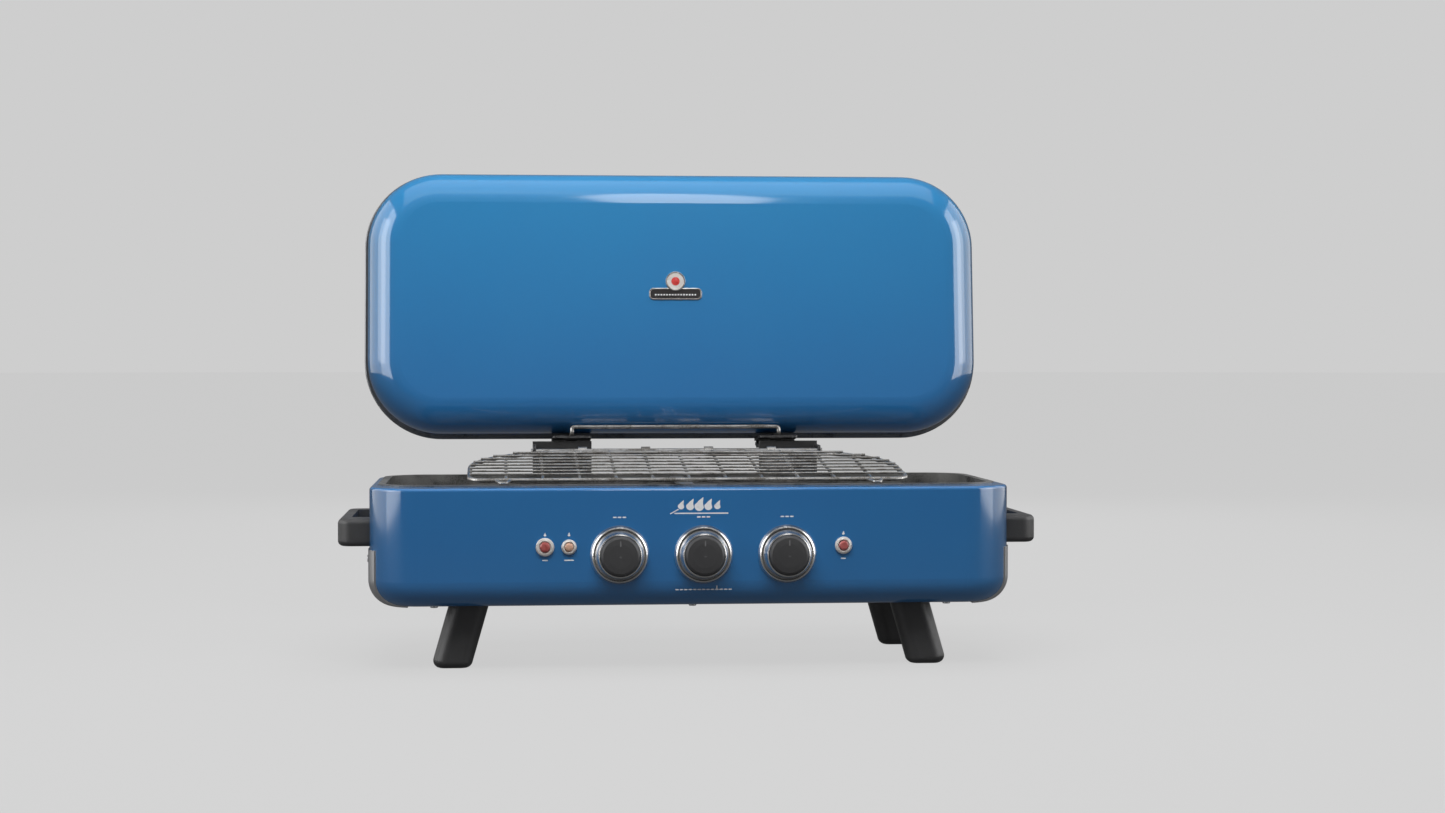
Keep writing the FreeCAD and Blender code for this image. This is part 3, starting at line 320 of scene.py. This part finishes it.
class Finish:
    """A material in the making: its shader, object coordinates, and short ways to wire them."""

    def __init__(self, name, **constants):
        self.material = bpy.data.materials.new(name)
        self.material.use_nodes = True
        self.tree = self.material.node_tree
        self.shader = self.tree.nodes["Principled BSDF"]
        self.place = self.tree.nodes.new("ShaderNodeTexCoord").outputs["Object"]
        feed(self.tree, self.shader, **constants)

    def group(self, group, **values):
        node = self.tree.nodes.new("ShaderNodeGroup")
        node.node_tree = group
        return feed(self.tree, node, Vector=self.place, **values)

    def blend(self, mask, first, second):
        """One colour over another by a mask."""
        node = self.tree.nodes.new("ShaderNodeMix")
        node.data_type = "RGBA"
        self.tree.links.new(mask, node.inputs["Factor"])
        for socket, colour in ((node.inputs[6], first), (node.inputs[7], second)):
            if isinstance(colour, bpy.types.NodeSocket):
                self.tree.links.new(colour, socket)
            else:
                socket.default_value = colour
        return node.outputs[2]

    def span(self, mask, low, high):
        """A mask spread between two numbers."""
        return between(self.tree, mask, 0.0, 1.0, low, high)

    def relief(self, height, depth):
        """A bump of that depth in metres. A second call lies over the first."""
        bump = self.tree.nodes.new("ShaderNodeBump")
        feed(self.tree, bump, Height=height, Distance=depth, Strength=1.0)
        under = self.shader.inputs["Normal"].links
        if under:
            self.tree.links.new(under[0].from_socket, bump.inputs["Normal"])
        self.tree.links.new(bump.outputs[0], self.shader.inputs["Normal"])

    def wire(self, **wires):
        feed(self.tree, self.shader, **wires)

    def cloud(self, scale, contrast=1.0):
        return self.group(MOTTLE, Scale=scale, Contrast=contrast).outputs["Mask"]

    def grime(self, scale, cover):
        return self.group(GRIME, Scale=scale, Cover=cover).outputs["Mask"]

    def worn(self, scale, amount):
        return self.group(WEAR, Scale=scale, Amount=amount).outputs["Mask"]

    def grain(self, scale, depth):
        self.relief(self.group(GRAIN, Scale=scale).outputs["Height"], depth)

    def peel(self, scale, nibs, depth):
        self.relief(self.group(PEEL, Scale=scale, Nibs=nibs).outputs["Height"], depth)


def blue_enamel():
    """Glossy enamel under a clear coat, with painted light: its colour is lighter towards the top of the grill
    and deeper towards the bottom.
    """
    f = Finish(
        "blue_enamel_gloss", IOR=1.5, Specular_IOR_Level=0.12,
        Coat_Weight=1.0, Coat_Roughness=0.075, Coat_IOR=1.75,
    )
    height = f.tree.nodes.new("ShaderNodeSeparateXYZ")
    f.tree.links.new(f.place, height.inputs[0])
    # painted light: the colour grows lighter with height up the grill, where more light falls; the mottle added
    # to it is the paint's own uneven tone
    painted_light_rise = between(f.tree, height.outputs["Z"], 0.20, 0.50, 0.05, 0.62)
    tone = sums(f.tree, "MULTIPLY_ADD", f.cloud(5.0, 1.4), 0.16, painted_light_rise)
    paint = f.blend(tone, ENAMEL_DEEP, ENAMEL_PAINTED_LIT)
    f.wire(Base_Color=f.blend(f.worn(140.0, 0.28), paint, ENAMEL_RUBBED))
    f.wire(Roughness=f.span(f.cloud(14.0), 0.28, 0.40))
    f.peel(260.0, 0.5, 0.035 * MM)
    return f.material


def dark_enamel():
    """The bowl's enamel: ash grey, rubbed at its edges, with soot baked on."""
    f = Finish("bowl_enamel_dark", IOR=1.5)
    soot = f.grime(22.0, 0.55)
    base = f.blend(f.cloud(12.0), BOWL_DARK, BOWL_ASH)
    base = f.blend(f.worn(110.0, 0.5), base, BOWL_WORN)
    f.wire(Base_Color=f.blend(soot, base, BOWL_SOOT), Roughness=f.span(soot, 0.36, 0.72))
    f.peel(420.0, 0.8, 0.08 * MM)
    return f.material


def hinge_black():
    """Black powder paint, through to the steel at its corners."""
    f = Finish("hinge_powder_black", IOR=1.5)
    worn = f.worn(160.0, 0.9)
    tone = f.blend(f.cloud(50.0), POWDER_BLACK, POWDER_GREY)
    f.wire(Base_Color=f.blend(worn, tone, STEEL_DULL), Metallic=worn, Roughness=f.span(worn, 0.52, 0.34))
    f.grain(1100.0, 0.07 * MM)
    return f.material


def brushed(name, dull, bright, patches, dirt, bare, lines, depth):
    """Rolled steel with brushing lines, and grime in patches: dirt is its colour, bare how metallic it is."""
    f = Finish(name)
    brush = f.group(BRUSH, Fineness=1.0)
    grime = f.grime(*patches)
    f.wire(Base_Color=f.blend(grime, f.blend(brush.outputs["Smear"], dull, bright), dirt))
    f.wire(Metallic=f.span(grime, 1.0, bare), Roughness=f.span(brush.outputs["Lines"], *lines))
    f.relief(brush.outputs["Lines"], depth)
    return f.material


def burner_steel():
    """Bare steel, straw and blue where the flames heat it, sooty in patches."""
    f = Finish("burner_steel_heated")
    tone = f.blend(f.cloud(16.0, 1.2), STEEL_DULL, f.blend(f.cloud(34.0, 0.8), HEAT_STRAW, HEAT_BLUE))
    soot = f.grime(45.0, 0.5)
    f.wire(Base_Color=f.blend(soot, tone, BURNER_SOOT))
    f.wire(Metallic=f.span(soot, 1.0, 0.5), Roughness=f.span(soot, 0.32, 0.6))
    f.relief(f.group(BRUSH, Fineness=1.0).outputs["Lines"], 0.03 * MM)
    return f.material


def wire_chrome():
    """The rack's plated wire, dulled and speckled with baked-on fat."""
    f = Finish("rack_wire_chrome")
    grime = f.grime(55.0, 0.62)
    tone = f.blend(f.cloud(60.0), WIRE_DULL, WIRE_GREY)
    f.wire(Base_Color=f.blend(grime, tone, WIRE_GRIME), Metallic=f.span(grime, 1.0, 0.55))
    f.wire(Roughness=f.span(grime, 0.34, 0.60))
    f.relief(grime, 0.12 * MM)
    return f.material


def knob_metal():
    """Turned metal with the lathe's rings, and a painted highlight and painted shade in its colour that sweep
    twice round each knob.
    """
    f = Finish("knob_metal_turned")
    rings_and_sheen = f.group(TURNED_AND_SHEEN, Fineness=2400.0)
    tone = f.blend(rings_and_sheen.outputs["Painted_Sheen"], KNOB_SHADE, KNOB_SILVER_LIT)
    f.wire(Base_Color=tone, Roughness=f.span(rings_and_sheen.outputs["Rings"], 0.16, 0.34), Metallic=1.0)
    f.relief(rings_and_sheen.outputs["Rings"], 0.04 * MM)
    return f.material


def moulded(name, dark, light, roughness, depth, worn=0.35):
    """Moulded plastic with its cast grain and handling shine."""
    f = Finish(name, IOR=1.47)
    cloud = f.cloud(26.0)
    rubbed = f.worn(120.0, worn)
    lighter = tuple(min(1, c * 2.2 + 0.02) for c in light[:3]) + (1,)
    f.wire(Base_Color=f.blend(rubbed, f.blend(cloud, dark, light), lighter))
    f.wire(Roughness=f.span(sums(f.tree, "MAXIMUM", cloud, rubbed), roughness, roughness - 0.12))
    f.grain(1300.0, depth)
    return f.material


def gloss_plastic(name, deep, pale, roughness=0.22):
    """Bright button plastic: slightly cloudy, with a clear skin."""
    f = Finish(name, IOR=1.49, Coat_Weight=0.6, Coat_Roughness=0.08)
    cloud = f.cloud(180.0)
    dirty = tuple(c * 0.45 for c in deep[:3]) + (1,)
    f.wire(Base_Color=f.blend(f.grime(300.0, 0.25), f.blend(cloud, deep, pale), dirty))
    f.wire(Roughness=f.span(cloud, roughness, roughness + 0.12))
    f.peel(900.0, 0.2, 0.02 * MM)
    return f.material


def plated(name, bright, dull, roughness=0.25, grime_cover=0.3):
    """A small plated metal part with dull patches."""
    f = Finish(name)
    cloud = f.cloud(120.0)
    grime = f.grime(160.0, grime_cover)
    dirty = tuple(c * 0.3 for c in dull[:3]) + (1,)
    f.wire(Base_Color=f.blend(grime, f.blend(cloud, dull, bright), dirty))
    f.wire(Metallic=f.span(grime, 1.0, 0.6), Roughness=f.span(cloud, roughness + 0.14, roughness))
    f.grain(1800.0, 0.02 * MM)
    return f.material


FINISHES = {
    "blue_enamel": blue_enamel(),
    "dark_enamel": dark_enamel(),
    "hinge_black": hinge_black(),
    "rim_steel": brushed(
        "lid_rim_steel", RIM_DARK, RIM_GREY, (30.0, 0.45), RIM_GRIME, 0.4, (0.26, 0.48), 0.02 * MM
    ),
    "sheet_steel": brushed(
        "sheet_steel_brushed", STEEL_DULL, STEEL_BRIGHT, (26.0, 0.25), SHEET_GRIME, 0.7, (0.24, 0.46), 0.03 * MM
    ),
    "wire_chrome": wire_chrome(),
    "knob_metal": knob_metal(),
    "black_plastic": moulded("black_plastic_grained", MOULDED_BLACK, MOULDED_GREY, 0.46, 0.10 * MM),
    "cap_black": moulded("cap_black_satin", CAP_BLACK, CAP_GREY, 0.50, 0.03 * MM, worn=0.2),
    "ring_white": gloss_plastic("ring_white_gloss", RING_CREAM, RING_WHITE),
    "button_red": gloss_plastic("button_red_gloss", BUTTON_RED, BUTTON_RED_PALE),
    "button_amber": gloss_plastic("button_amber_gloss", BUTTON_AMBER, BUTTON_AMBER_PALE),
    "screw_zinc": plated("screw_zinc_plated", ZINC, ZINC_DULL),
    "brass": plated("gas_brass", BRASS, BRASS_TARNISH, 0.28, 0.4),
    "badge_metal": plated("badge_nickel", NICKEL, NICKEL_DULL, 0.16, 0.2),
    "badge_red": gloss_plastic("badge_red_enamel", BADGE_RED, BADGE_RED_PALE),
}
HEATED = burner_steel()
MARKS = gloss_plastic("panel_mark_white", MARK_WHITE, MARK_BRIGHT, 0.30)
POINTER_GREY = gloss_plastic("pointer_grey", POINTER_DEEP, POINTER_PALE, 0.4)
INK = moulded("badge_ink_dark", INK_DEEP, INK_PALE, 0.30, 0.02 * MM, worn=0.1)

for piece in NODES.values():
    for place in piece.material_slots:
        place.material = FINISHES[place.material.name.split(".")[0]]
for name in ("burner_left", "burner_centre", "burner_right", "flame_tamers"):
    for place in NODES[name].material_slots:
        place.material = HEATED

# ---------------------------------------------------------------- modelling helpers

bpy.context.tool_settings.mesh_select_mode = (False, False, True)


def clear_picks():
    if bpy.context.object and bpy.context.object.mode != "OBJECT":
        bpy.ops.object.mode_set(mode="OBJECT")
    bpy.ops.object.select_all(action="DESELECT")


def edit_faces(piece, wanted):
    """Edit mode, with only the faces picked whose centre and normal are wanted."""
    bpy.ops.object.mode_set(mode="EDIT")
    bpy.ops.mesh.select_mode(type="FACE")
    bpy.ops.mesh.select_all(action="DESELECT")
    bpy.ops.object.mode_set(mode="OBJECT")
    for face in piece.data.polygons:
        face.select = wanted(face.center, face.normal)
    bpy.ops.object.mode_set(mode="EDIT")


def edit_points(piece, wanted):
    """Edit mode, with only the points picked whose place is wanted."""
    bpy.ops.object.mode_set(mode="EDIT")
    bpy.ops.mesh.select_mode(type="VERT")
    bpy.ops.mesh.select_all(action="DESELECT")
    bpy.ops.object.mode_set(mode="OBJECT")
    for point in piece.data.vertices:
        point.select = wanted(point.co)
    bpy.ops.object.mode_set(mode="EDIT")


def pick_only(piece):
    clear_picks()
    piece.select_set(True)
    bpy.context.view_layer.objects.active = piece


def settle(piece, turn=None, place=(0, 0, 0)):
    """Turns the picked piece and puts it in place, and makes that its mesh's own place."""
    if turn is not None:
        piece.rotation_euler = turn
    piece.location = place
    bpy.ops.object.transform_apply(location=True, rotation=True, scale=True)
    return piece


def work_face(steps):
    """Insets and pushes the picked front face, by steps of (inset, push), push being along +Y."""
    for inset, push in steps:
        if inset:
            bpy.ops.mesh.inset(thickness=inset, depth=0)
        if push:
            bpy.ops.mesh.extrude_region_move(TRANSFORM_OT_translate={"value": (0, push, 0)})


def recalculated(piece):
    pick_only(piece)
    bpy.ops.object.mode_set(mode="EDIT")
    bpy.ops.mesh.select_all(action="SELECT")
    bpy.ops.mesh.normals_make_consistent(inside=False)
    bpy.ops.object.mode_set(mode="OBJECT")
    return piece


def join_all(name, pieces):
    """Several meshes as one named piece."""
    clear_picks()
    for piece in pieces:
        piece.select_set(True)
    bpy.context.view_layer.objects.active = pieces[0]
    if len(pieces) > 1:
        bpy.ops.object.join()
    joined = bpy.context.object
    joined.name = joined.data.name = name
    return joined


def paint(piece, material, slot, body):
    piece.data.materials.clear()
    piece.data.materials.append(material)
    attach(piece, body)


# ---------------------------------------------------------------- printed marks on the panel

PRINT_PROUD = 0.12 * MM  # how far a printed mark stands out of its face
MARK_DEEP = 1.0 * MM  # a pointer or bezel mark is let in this deep
CAP_CROWN = 0.12 * MM  # from a cap's foremost point back to where its pointer shows
BEZEL_FALL = 0.30 * MM  # from the bezels' foremost point back to where their marks show
EMBLEM_DOWN = 17 * MM  # the flame emblem, below the panel's top edge
EMBLEM_FLAMES = (6.0, 7.5, 9.0, 7.5, 6.0)
EMBLEM_PITCH = 8.4 * MM
EMBLEM_LEAN = 0.30
DASH_PITCH = 4.4 * MM  # three dashes over each knob
DASH_UP = 34.5 * MM
SCALE_PITCH = 4.1 * MM  # the dashed line under the middle knob
SCALE_DOWN = 32.5 * MM


def print_bar(x, z, length, width, lean=0.0, proud=PRINT_PROUD, face=PANEL_FRONT):
    """A short printed stroke with rounded ends, standing on the panel or on another face."""
    clear_picks()
    bpy.ops.mesh.primitive_plane_add(size=1, rotation=(math.pi / 2, 0, 0))
    bar = bpy.context.object
    bpy.ops.object.mode_set(mode="EDIT")
    bpy.ops.mesh.select_all(action="SELECT")
    bpy.ops.transform.resize(value=(length, 1, width))
    bpy.ops.mesh.bevel(offset=min(length, width) * 0.46, segments=4, affect="VERTICES")
    bpy.ops.mesh.extrude_region_move(TRANSFORM_OT_translate={"value": (0, -proud, 0)})
    bpy.ops.object.mode_set(mode="OBJECT")
    settle(bar)
    return settle(bar, (0, lean, 0), (x, face, z))


def print_flame(x, z, size, lean=0.0):
    """A small printed flame: a disc drawn up to a point."""
    clear_picks()
    bpy.ops.mesh.primitive_circle_add(
        vertices=20, radius=size / 2, fill_type="NGON", rotation=(math.pi / 2, 0, 0)
    )
    flame = settle(bpy.context.object)
    edit_points(flame, lambda co: co.z > size * 0.1)
    bpy.ops.transform.resize(value=(0.62, 1, 1.0))
    bpy.ops.transform.translate(value=(0, 0, size * 0.18))
    edit_points(flame, lambda co: co.z > size * 0.56)
    bpy.ops.transform.resize(value=(0.35, 1, 1.0))
    bpy.ops.transform.translate(value=(size * 0.10, 0, size * 0.30))
    bpy.ops.mesh.select_all(action="SELECT")
    bpy.ops.mesh.extrude_region_move(TRANSFORM_OT_translate={"value": (0, -PRINT_PROUD, 0)})
    bpy.ops.object.mode_set(mode="OBJECT")
    return settle(flame, (0, lean, 0), (x, PANEL_FRONT, z))


def panel_marks():
    """The flame emblem over its line, dashes at the knobs, and a flame and a dash at each button."""
    middle_x = KNOB_X[1]
    emblem_z = PANEL_TOP - EMBLEM_DOWN
    made = []
    for step, size in enumerate(EMBLEM_FLAMES):
        x = middle_x - 4 * MM + (step - 2) * EMBLEM_PITCH
        made.append(print_flame(x, emblem_z, size * MM, lean=EMBLEM_LEAN))
    made.append(print_bar(middle_x - 2 * MM, emblem_z - 6.6 * MM, 50 * MM, 1.1 * MM))
    made.append(print_bar(middle_x - 27 * MM, emblem_z - 5.0 * MM, 9 * MM, 0.9 * MM, lean=-0.5))
    for x in KNOB_X:
        for step in (-1, 0, 1):
            made.append(print_bar(x + step * DASH_PITCH, KNOB_Z + DASH_UP, 3.4 * MM, 1.2 * MM))
    for step in range(-6, 7):
        made.append(print_bar(middle_x + step * SCALE_PITCH, KNOB_Z - SCALE_DOWN, 3.2 * MM, 1.0 * MM))
    made.append(print_bar(middle_x + 3 * SCALE_PITCH, KNOB_Z - 30.6 * MM, 0.9 * MM, 3.0 * MM))
    for at, length in zip(BUTTON_AT, (5.0, 9.0, 4.5)):
        made.append(print_flame(at.x, at.z + 11.0 * MM, 2.4 * MM))
        made.append(print_bar(at.x, at.z - 12.2 * MM, length * MM, 1.1 * MM))
    marks = recalculated(join_all("panel_marks", made))
    paint(marks, MARKS, "ring_white", "base")


panel_marks()

# ---------------------------------------------------------------- badge on the lid


def facing_disc(name, radius, depth, steps, vertices=72):
    """A round piece facing -Y, its front face worked in steps."""
    clear_picks()
    bpy.ops.mesh.primitive_cylinder_add(
        vertices=vertices, radius=radius, depth=depth, rotation=(math.pi / 2, 0, 0)
    )
    disc = settle(bpy.context.object, place=(0, -depth / 2, 0))
    edit_faces(disc, lambda centre, normal: normal.y < -0.9)
    work_face(steps)
    bpy.ops.object.mode_set(mode="OBJECT")
    disc.name = disc.data.name = name
    return disc


def facing_bar(name, length, height, depth, steps):
    """A long piece with round ends facing -Y, its front face worked in steps."""
    clear_picks()
    bpy.ops.mesh.primitive_plane_add(size=1, rotation=(math.pi / 2, 0, 0))
    bar = settle(bpy.context.object)
    bpy.ops.object.mode_set(mode="EDIT")
    bpy.ops.mesh.select_all(action="SELECT")
    bpy.ops.transform.resize(value=(length, 1, height))
    bpy.ops.mesh.bevel(offset=height * 0.36, segments=8, affect="VERTICES")
    bpy.ops.mesh.extrude_region_move(TRANSFORM_OT_translate={"value": (0, -depth, 0)})
    work_face(steps)
    bpy.ops.object.mode_set(mode="OBJECT")
    bar.name = bar.data.name = name
    return recalculated(bar)


def soften(piece, width):
    """Rounds every sharp edge a little, as a real edge is."""
    pick_only(piece)
    bevel = piece.modifiers.new("rounded", "BEVEL")
    bevel.width, bevel.segments = width, 3
    bevel.limit_method, bevel.angle_limit = "ANGLE", math.radians(30)
    bpy.ops.object.modifier_apply(modifier=bevel.name)
    bpy.ops.object.shade_smooth_by_angle(angle=math.radians(35))


def onto_lid(piece, centre, finish, slot):
    """Puts a piece that faces -Y on the leaning lid, and gives it its finish."""
    pick_only(piece)
    settle(piece, (-LID_LEAN, 0, 0), centre)
    paint(piece, finish, slot, "lid")


def badge_medal():
    """A plain plated medal with white enamel in it and a red stud in its middle."""
    low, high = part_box("lid_badge_disc")
    centre = Vector((0, (low.y + high.y) / 2, (low.z + high.z) / 2)) - LID_OUT * 1.9 * MM
    medal = facing_disc("badge_medal", 10 * MM, 3.0 * MM, [(0.9 * MM, 0), (0.5 * MM, 0.7 * MM)])
    soften(medal, 0.18 * MM)
    onto_lid(medal, centre, FINISHES["badge_metal"], "badge_metal")
    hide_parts("lid_badge_disc")
    white = facing_disc("badge_enamel_white", 8.55 * MM, 2.5 * MM, [(1.0 * MM, 0)])
    soften(white, 0.1 * MM)
    onto_lid(white, centre, FINISHES["ring_white"], "ring_white")
    red = facing_disc("badge_enamel_red", 4.3 * MM, 2.9 * MM, [(0.8 * MM, 0), (1.2 * MM, -0.15 * MM)])
    soften(red, 0.15 * MM)
    onto_lid(red, centre, FINISHES["badge_red"], "badge_red")


def badge_name_bar():
    """The long bar under the medal: a plated frame, dark ink in it, and a row of plain pale beads."""
    low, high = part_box("lid_badge_bar")
    length, height = high.x - low.x, (high.z - low.z) / math.cos(LID_LEAN)
    back = Vector((0, high.y, (low.z + high.z) / 2)) - LID_OUT * 0.35 * MM
    frame_bar = facing_bar("badge_frame", length, height, 2.1 * MM, [(1.1 * MM, 0), (0.25 * MM, 0.6 * MM)])
    soften(frame_bar, 0.2 * MM)
    onto_lid(frame_bar, back, FINISHES["badge_metal"], "badge_metal")
    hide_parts("lid_badge_bar")
    inner = 2.6 * MM
    ink = facing_bar("badge_ink", length - inner, height - inner, 1.62 * MM, [(0.3 * MM, -0.05 * MM)])
    onto_lid(ink, back, INK, "cap_black")
    beads = []
    for step in range(-7, 8):
        bead = facing_disc("bead", 0.85 * MM, 1.95 * MM, [(0.25 * MM, 0)], vertices=12)
        beads.append(settle(bead, place=(step * 2.9 * MM, 0, -0.9 * MM)))
    onto_lid(join_all("badge_beads", beads), back, MARKS, "ring_white")


badge_medal()
badge_name_bar()

# ---------------------------------------------------------------- marks on the knobs and bezels


def knob_marks():
    """A pointer on each cap, and three index strokes at the top of each bezel."""
    strokes = []
    reach = BEZEL_RADIUS - 2.1 * MM
    bezel_at = BEZEL_LOW.y + BEZEL_FALL + MARK_DEEP
    for side, x in zip(("left", "centre", "right"), KNOB_X):
        cap_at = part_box(f"knob_cap_{side}")[0].y + CAP_CROWN + MARK_DEEP
        pointer = print_bar(x, KNOB_Z + 11.5 * MM, 1.1 * MM, 5.0 * MM, 0.0, MARK_DEEP, cap_at)
        pointer = recalculated(join_all(f"knob_pointer_{side}", [pointer]))
        paint(pointer, POINTER_GREY, "ring_white", f"knob_{side}")
        for turn in (-0.16, 0.0, 0.16):
            at = (x + math.sin(turn) * reach, KNOB_Z + math.cos(turn) * reach)
            strokes.append(print_bar(*at, 0.8 * MM, 1.5 * MM, turn, MARK_DEEP, bezel_at))
    marks = recalculated(join_all("bezel_marks", strokes))
    paint(marks, INK, "cap_black", "base")


knob_marks()

# ---------------------------------------------------------------- studio


def aim(thing, target):
    thing.rotation_euler = (Vector(target) - thing.location).to_track_quat("-Z", "Y").to_euler()


def softbox(name, place, target, width, height, power, diffuse=True, glossy=True):
    """A soft rectangular light that may be left out of the plain lighting or out of the reflections."""
    light = bpy.data.lights.new(name, "AREA")
    light.shape, light.size, light.size_y, light.energy = "RECTANGLE", width, height, power
    holder = bpy.data.objects.new(name, light)
    bpy.context.scene.collection.objects.link(holder)
    holder.location = place
    holder.visible_diffuse, holder.visible_glossy = diffuse, glossy
    aim(holder, target)
    return light


OBJECT_MIDDLE = (0, 0, 0.25)
WALL_UP = 1.15
softbox("softbox_key", (-0.15, -0.95, 1.35), (0, 0.05, 0.28), 1.3, 0.6, 18, glossy=False)
softbox("softbox_over", (0, 0.1, 1.9), (0, 0, 0.3), 1.8, 1.0, 20, glossy=False)
softbox("softbox_sheen", (0, -0.2, 1.7), (0, 0, 0.3), 2.2, 1.6, 8, diffuse=False)
softbox("softbox_rear", (0.3, 2.2, 1.3), OBJECT_MIDDLE, 1.8, 1.2, 22, glossy=False)
for side, out in (("left", -2.20), ("right", 2.35)):
    softbox("reflector_" + side, (out, -1.40, WALL_UP), (0, -1.40, WALL_UP), 1.8, 2.3, 41, diffuse=False)
    softbox("reflector_back_" + side, (out, 0.75, WALL_UP), (0, 0.75, WALL_UP), 2.5, 2.3, 26, diffuse=False)
    softbox("fill_" + side, (out, -0.6, 1.0), OBJECT_MIDDLE, 1.2, 1.2, 8)
strip = softbox("strip_front", (0.16, -1.75, 1.68), (0, 0.1, 0.42), 0.36, 1.3, 4.2, diffuse=False)
strip.shape = "ELLIPSE"

world = bpy.data.worlds.new("studio_air")
bpy.context.scene.world = world
world.use_nodes = True
air = world.node_tree
background = air.nodes["Background"]
seen = air.nodes.new("ShaderNodeLightPath")
level = between(air, seen.outputs["Is Camera Ray"], 0.0, 1.0, AIR_DIM, STUDIO_GREY)
air.links.new(level, background.inputs["Strength"])
background.inputs["Color"].default_value = (1, 1, 1, 1)

clear_picks()
bpy.ops.mesh.primitive_circle_add(vertices=96, radius=40, fill_type="NGON", location=(0, 0, 0))
floor = bpy.context.object
floor.name = "studio_floor"
ground = Finish("studio_floor_pale", Roughness=1.0, IOR=1.0)
glow = ground.tree.nodes.new("ShaderNodeLightPath").outputs["Is Camera Ray"]
ground.wire(Base_Color=FLOOR_GREY, Emission_Color=(1, 1, 1, 1))
ground.wire(Emission_Strength=between(ground.tree, glow, 0.0, 1.0, FLOOR_DIM, FLOOR_SEEN))
floor.data.materials.append(ground.material)

camera = bpy.data.cameras.new("camera")
camera.sensor_width = 36
camera.lens = 62.06
holder = bpy.data.objects.new("camera", camera)
bpy.context.scene.collection.objects.link(holder)
CAMERA_AT = Vector((-0.1768, -2.4428, 0.2925))
CAMERA_YAW, CAMERA_PITCH = math.radians(5.054), math.radians(-1.190)
level_out = math.cos(CAMERA_PITCH)
ahead = (math.sin(CAMERA_YAW) * level_out, math.cos(CAMERA_YAW) * level_out, math.sin(CAMERA_PITCH))
holder.location = CAMERA_AT
aim(holder, CAMERA_AT + Vector(ahead))
bpy.context.scene.camera = holder
bpy.context.scene.view_settings.view_transform = "Standard"
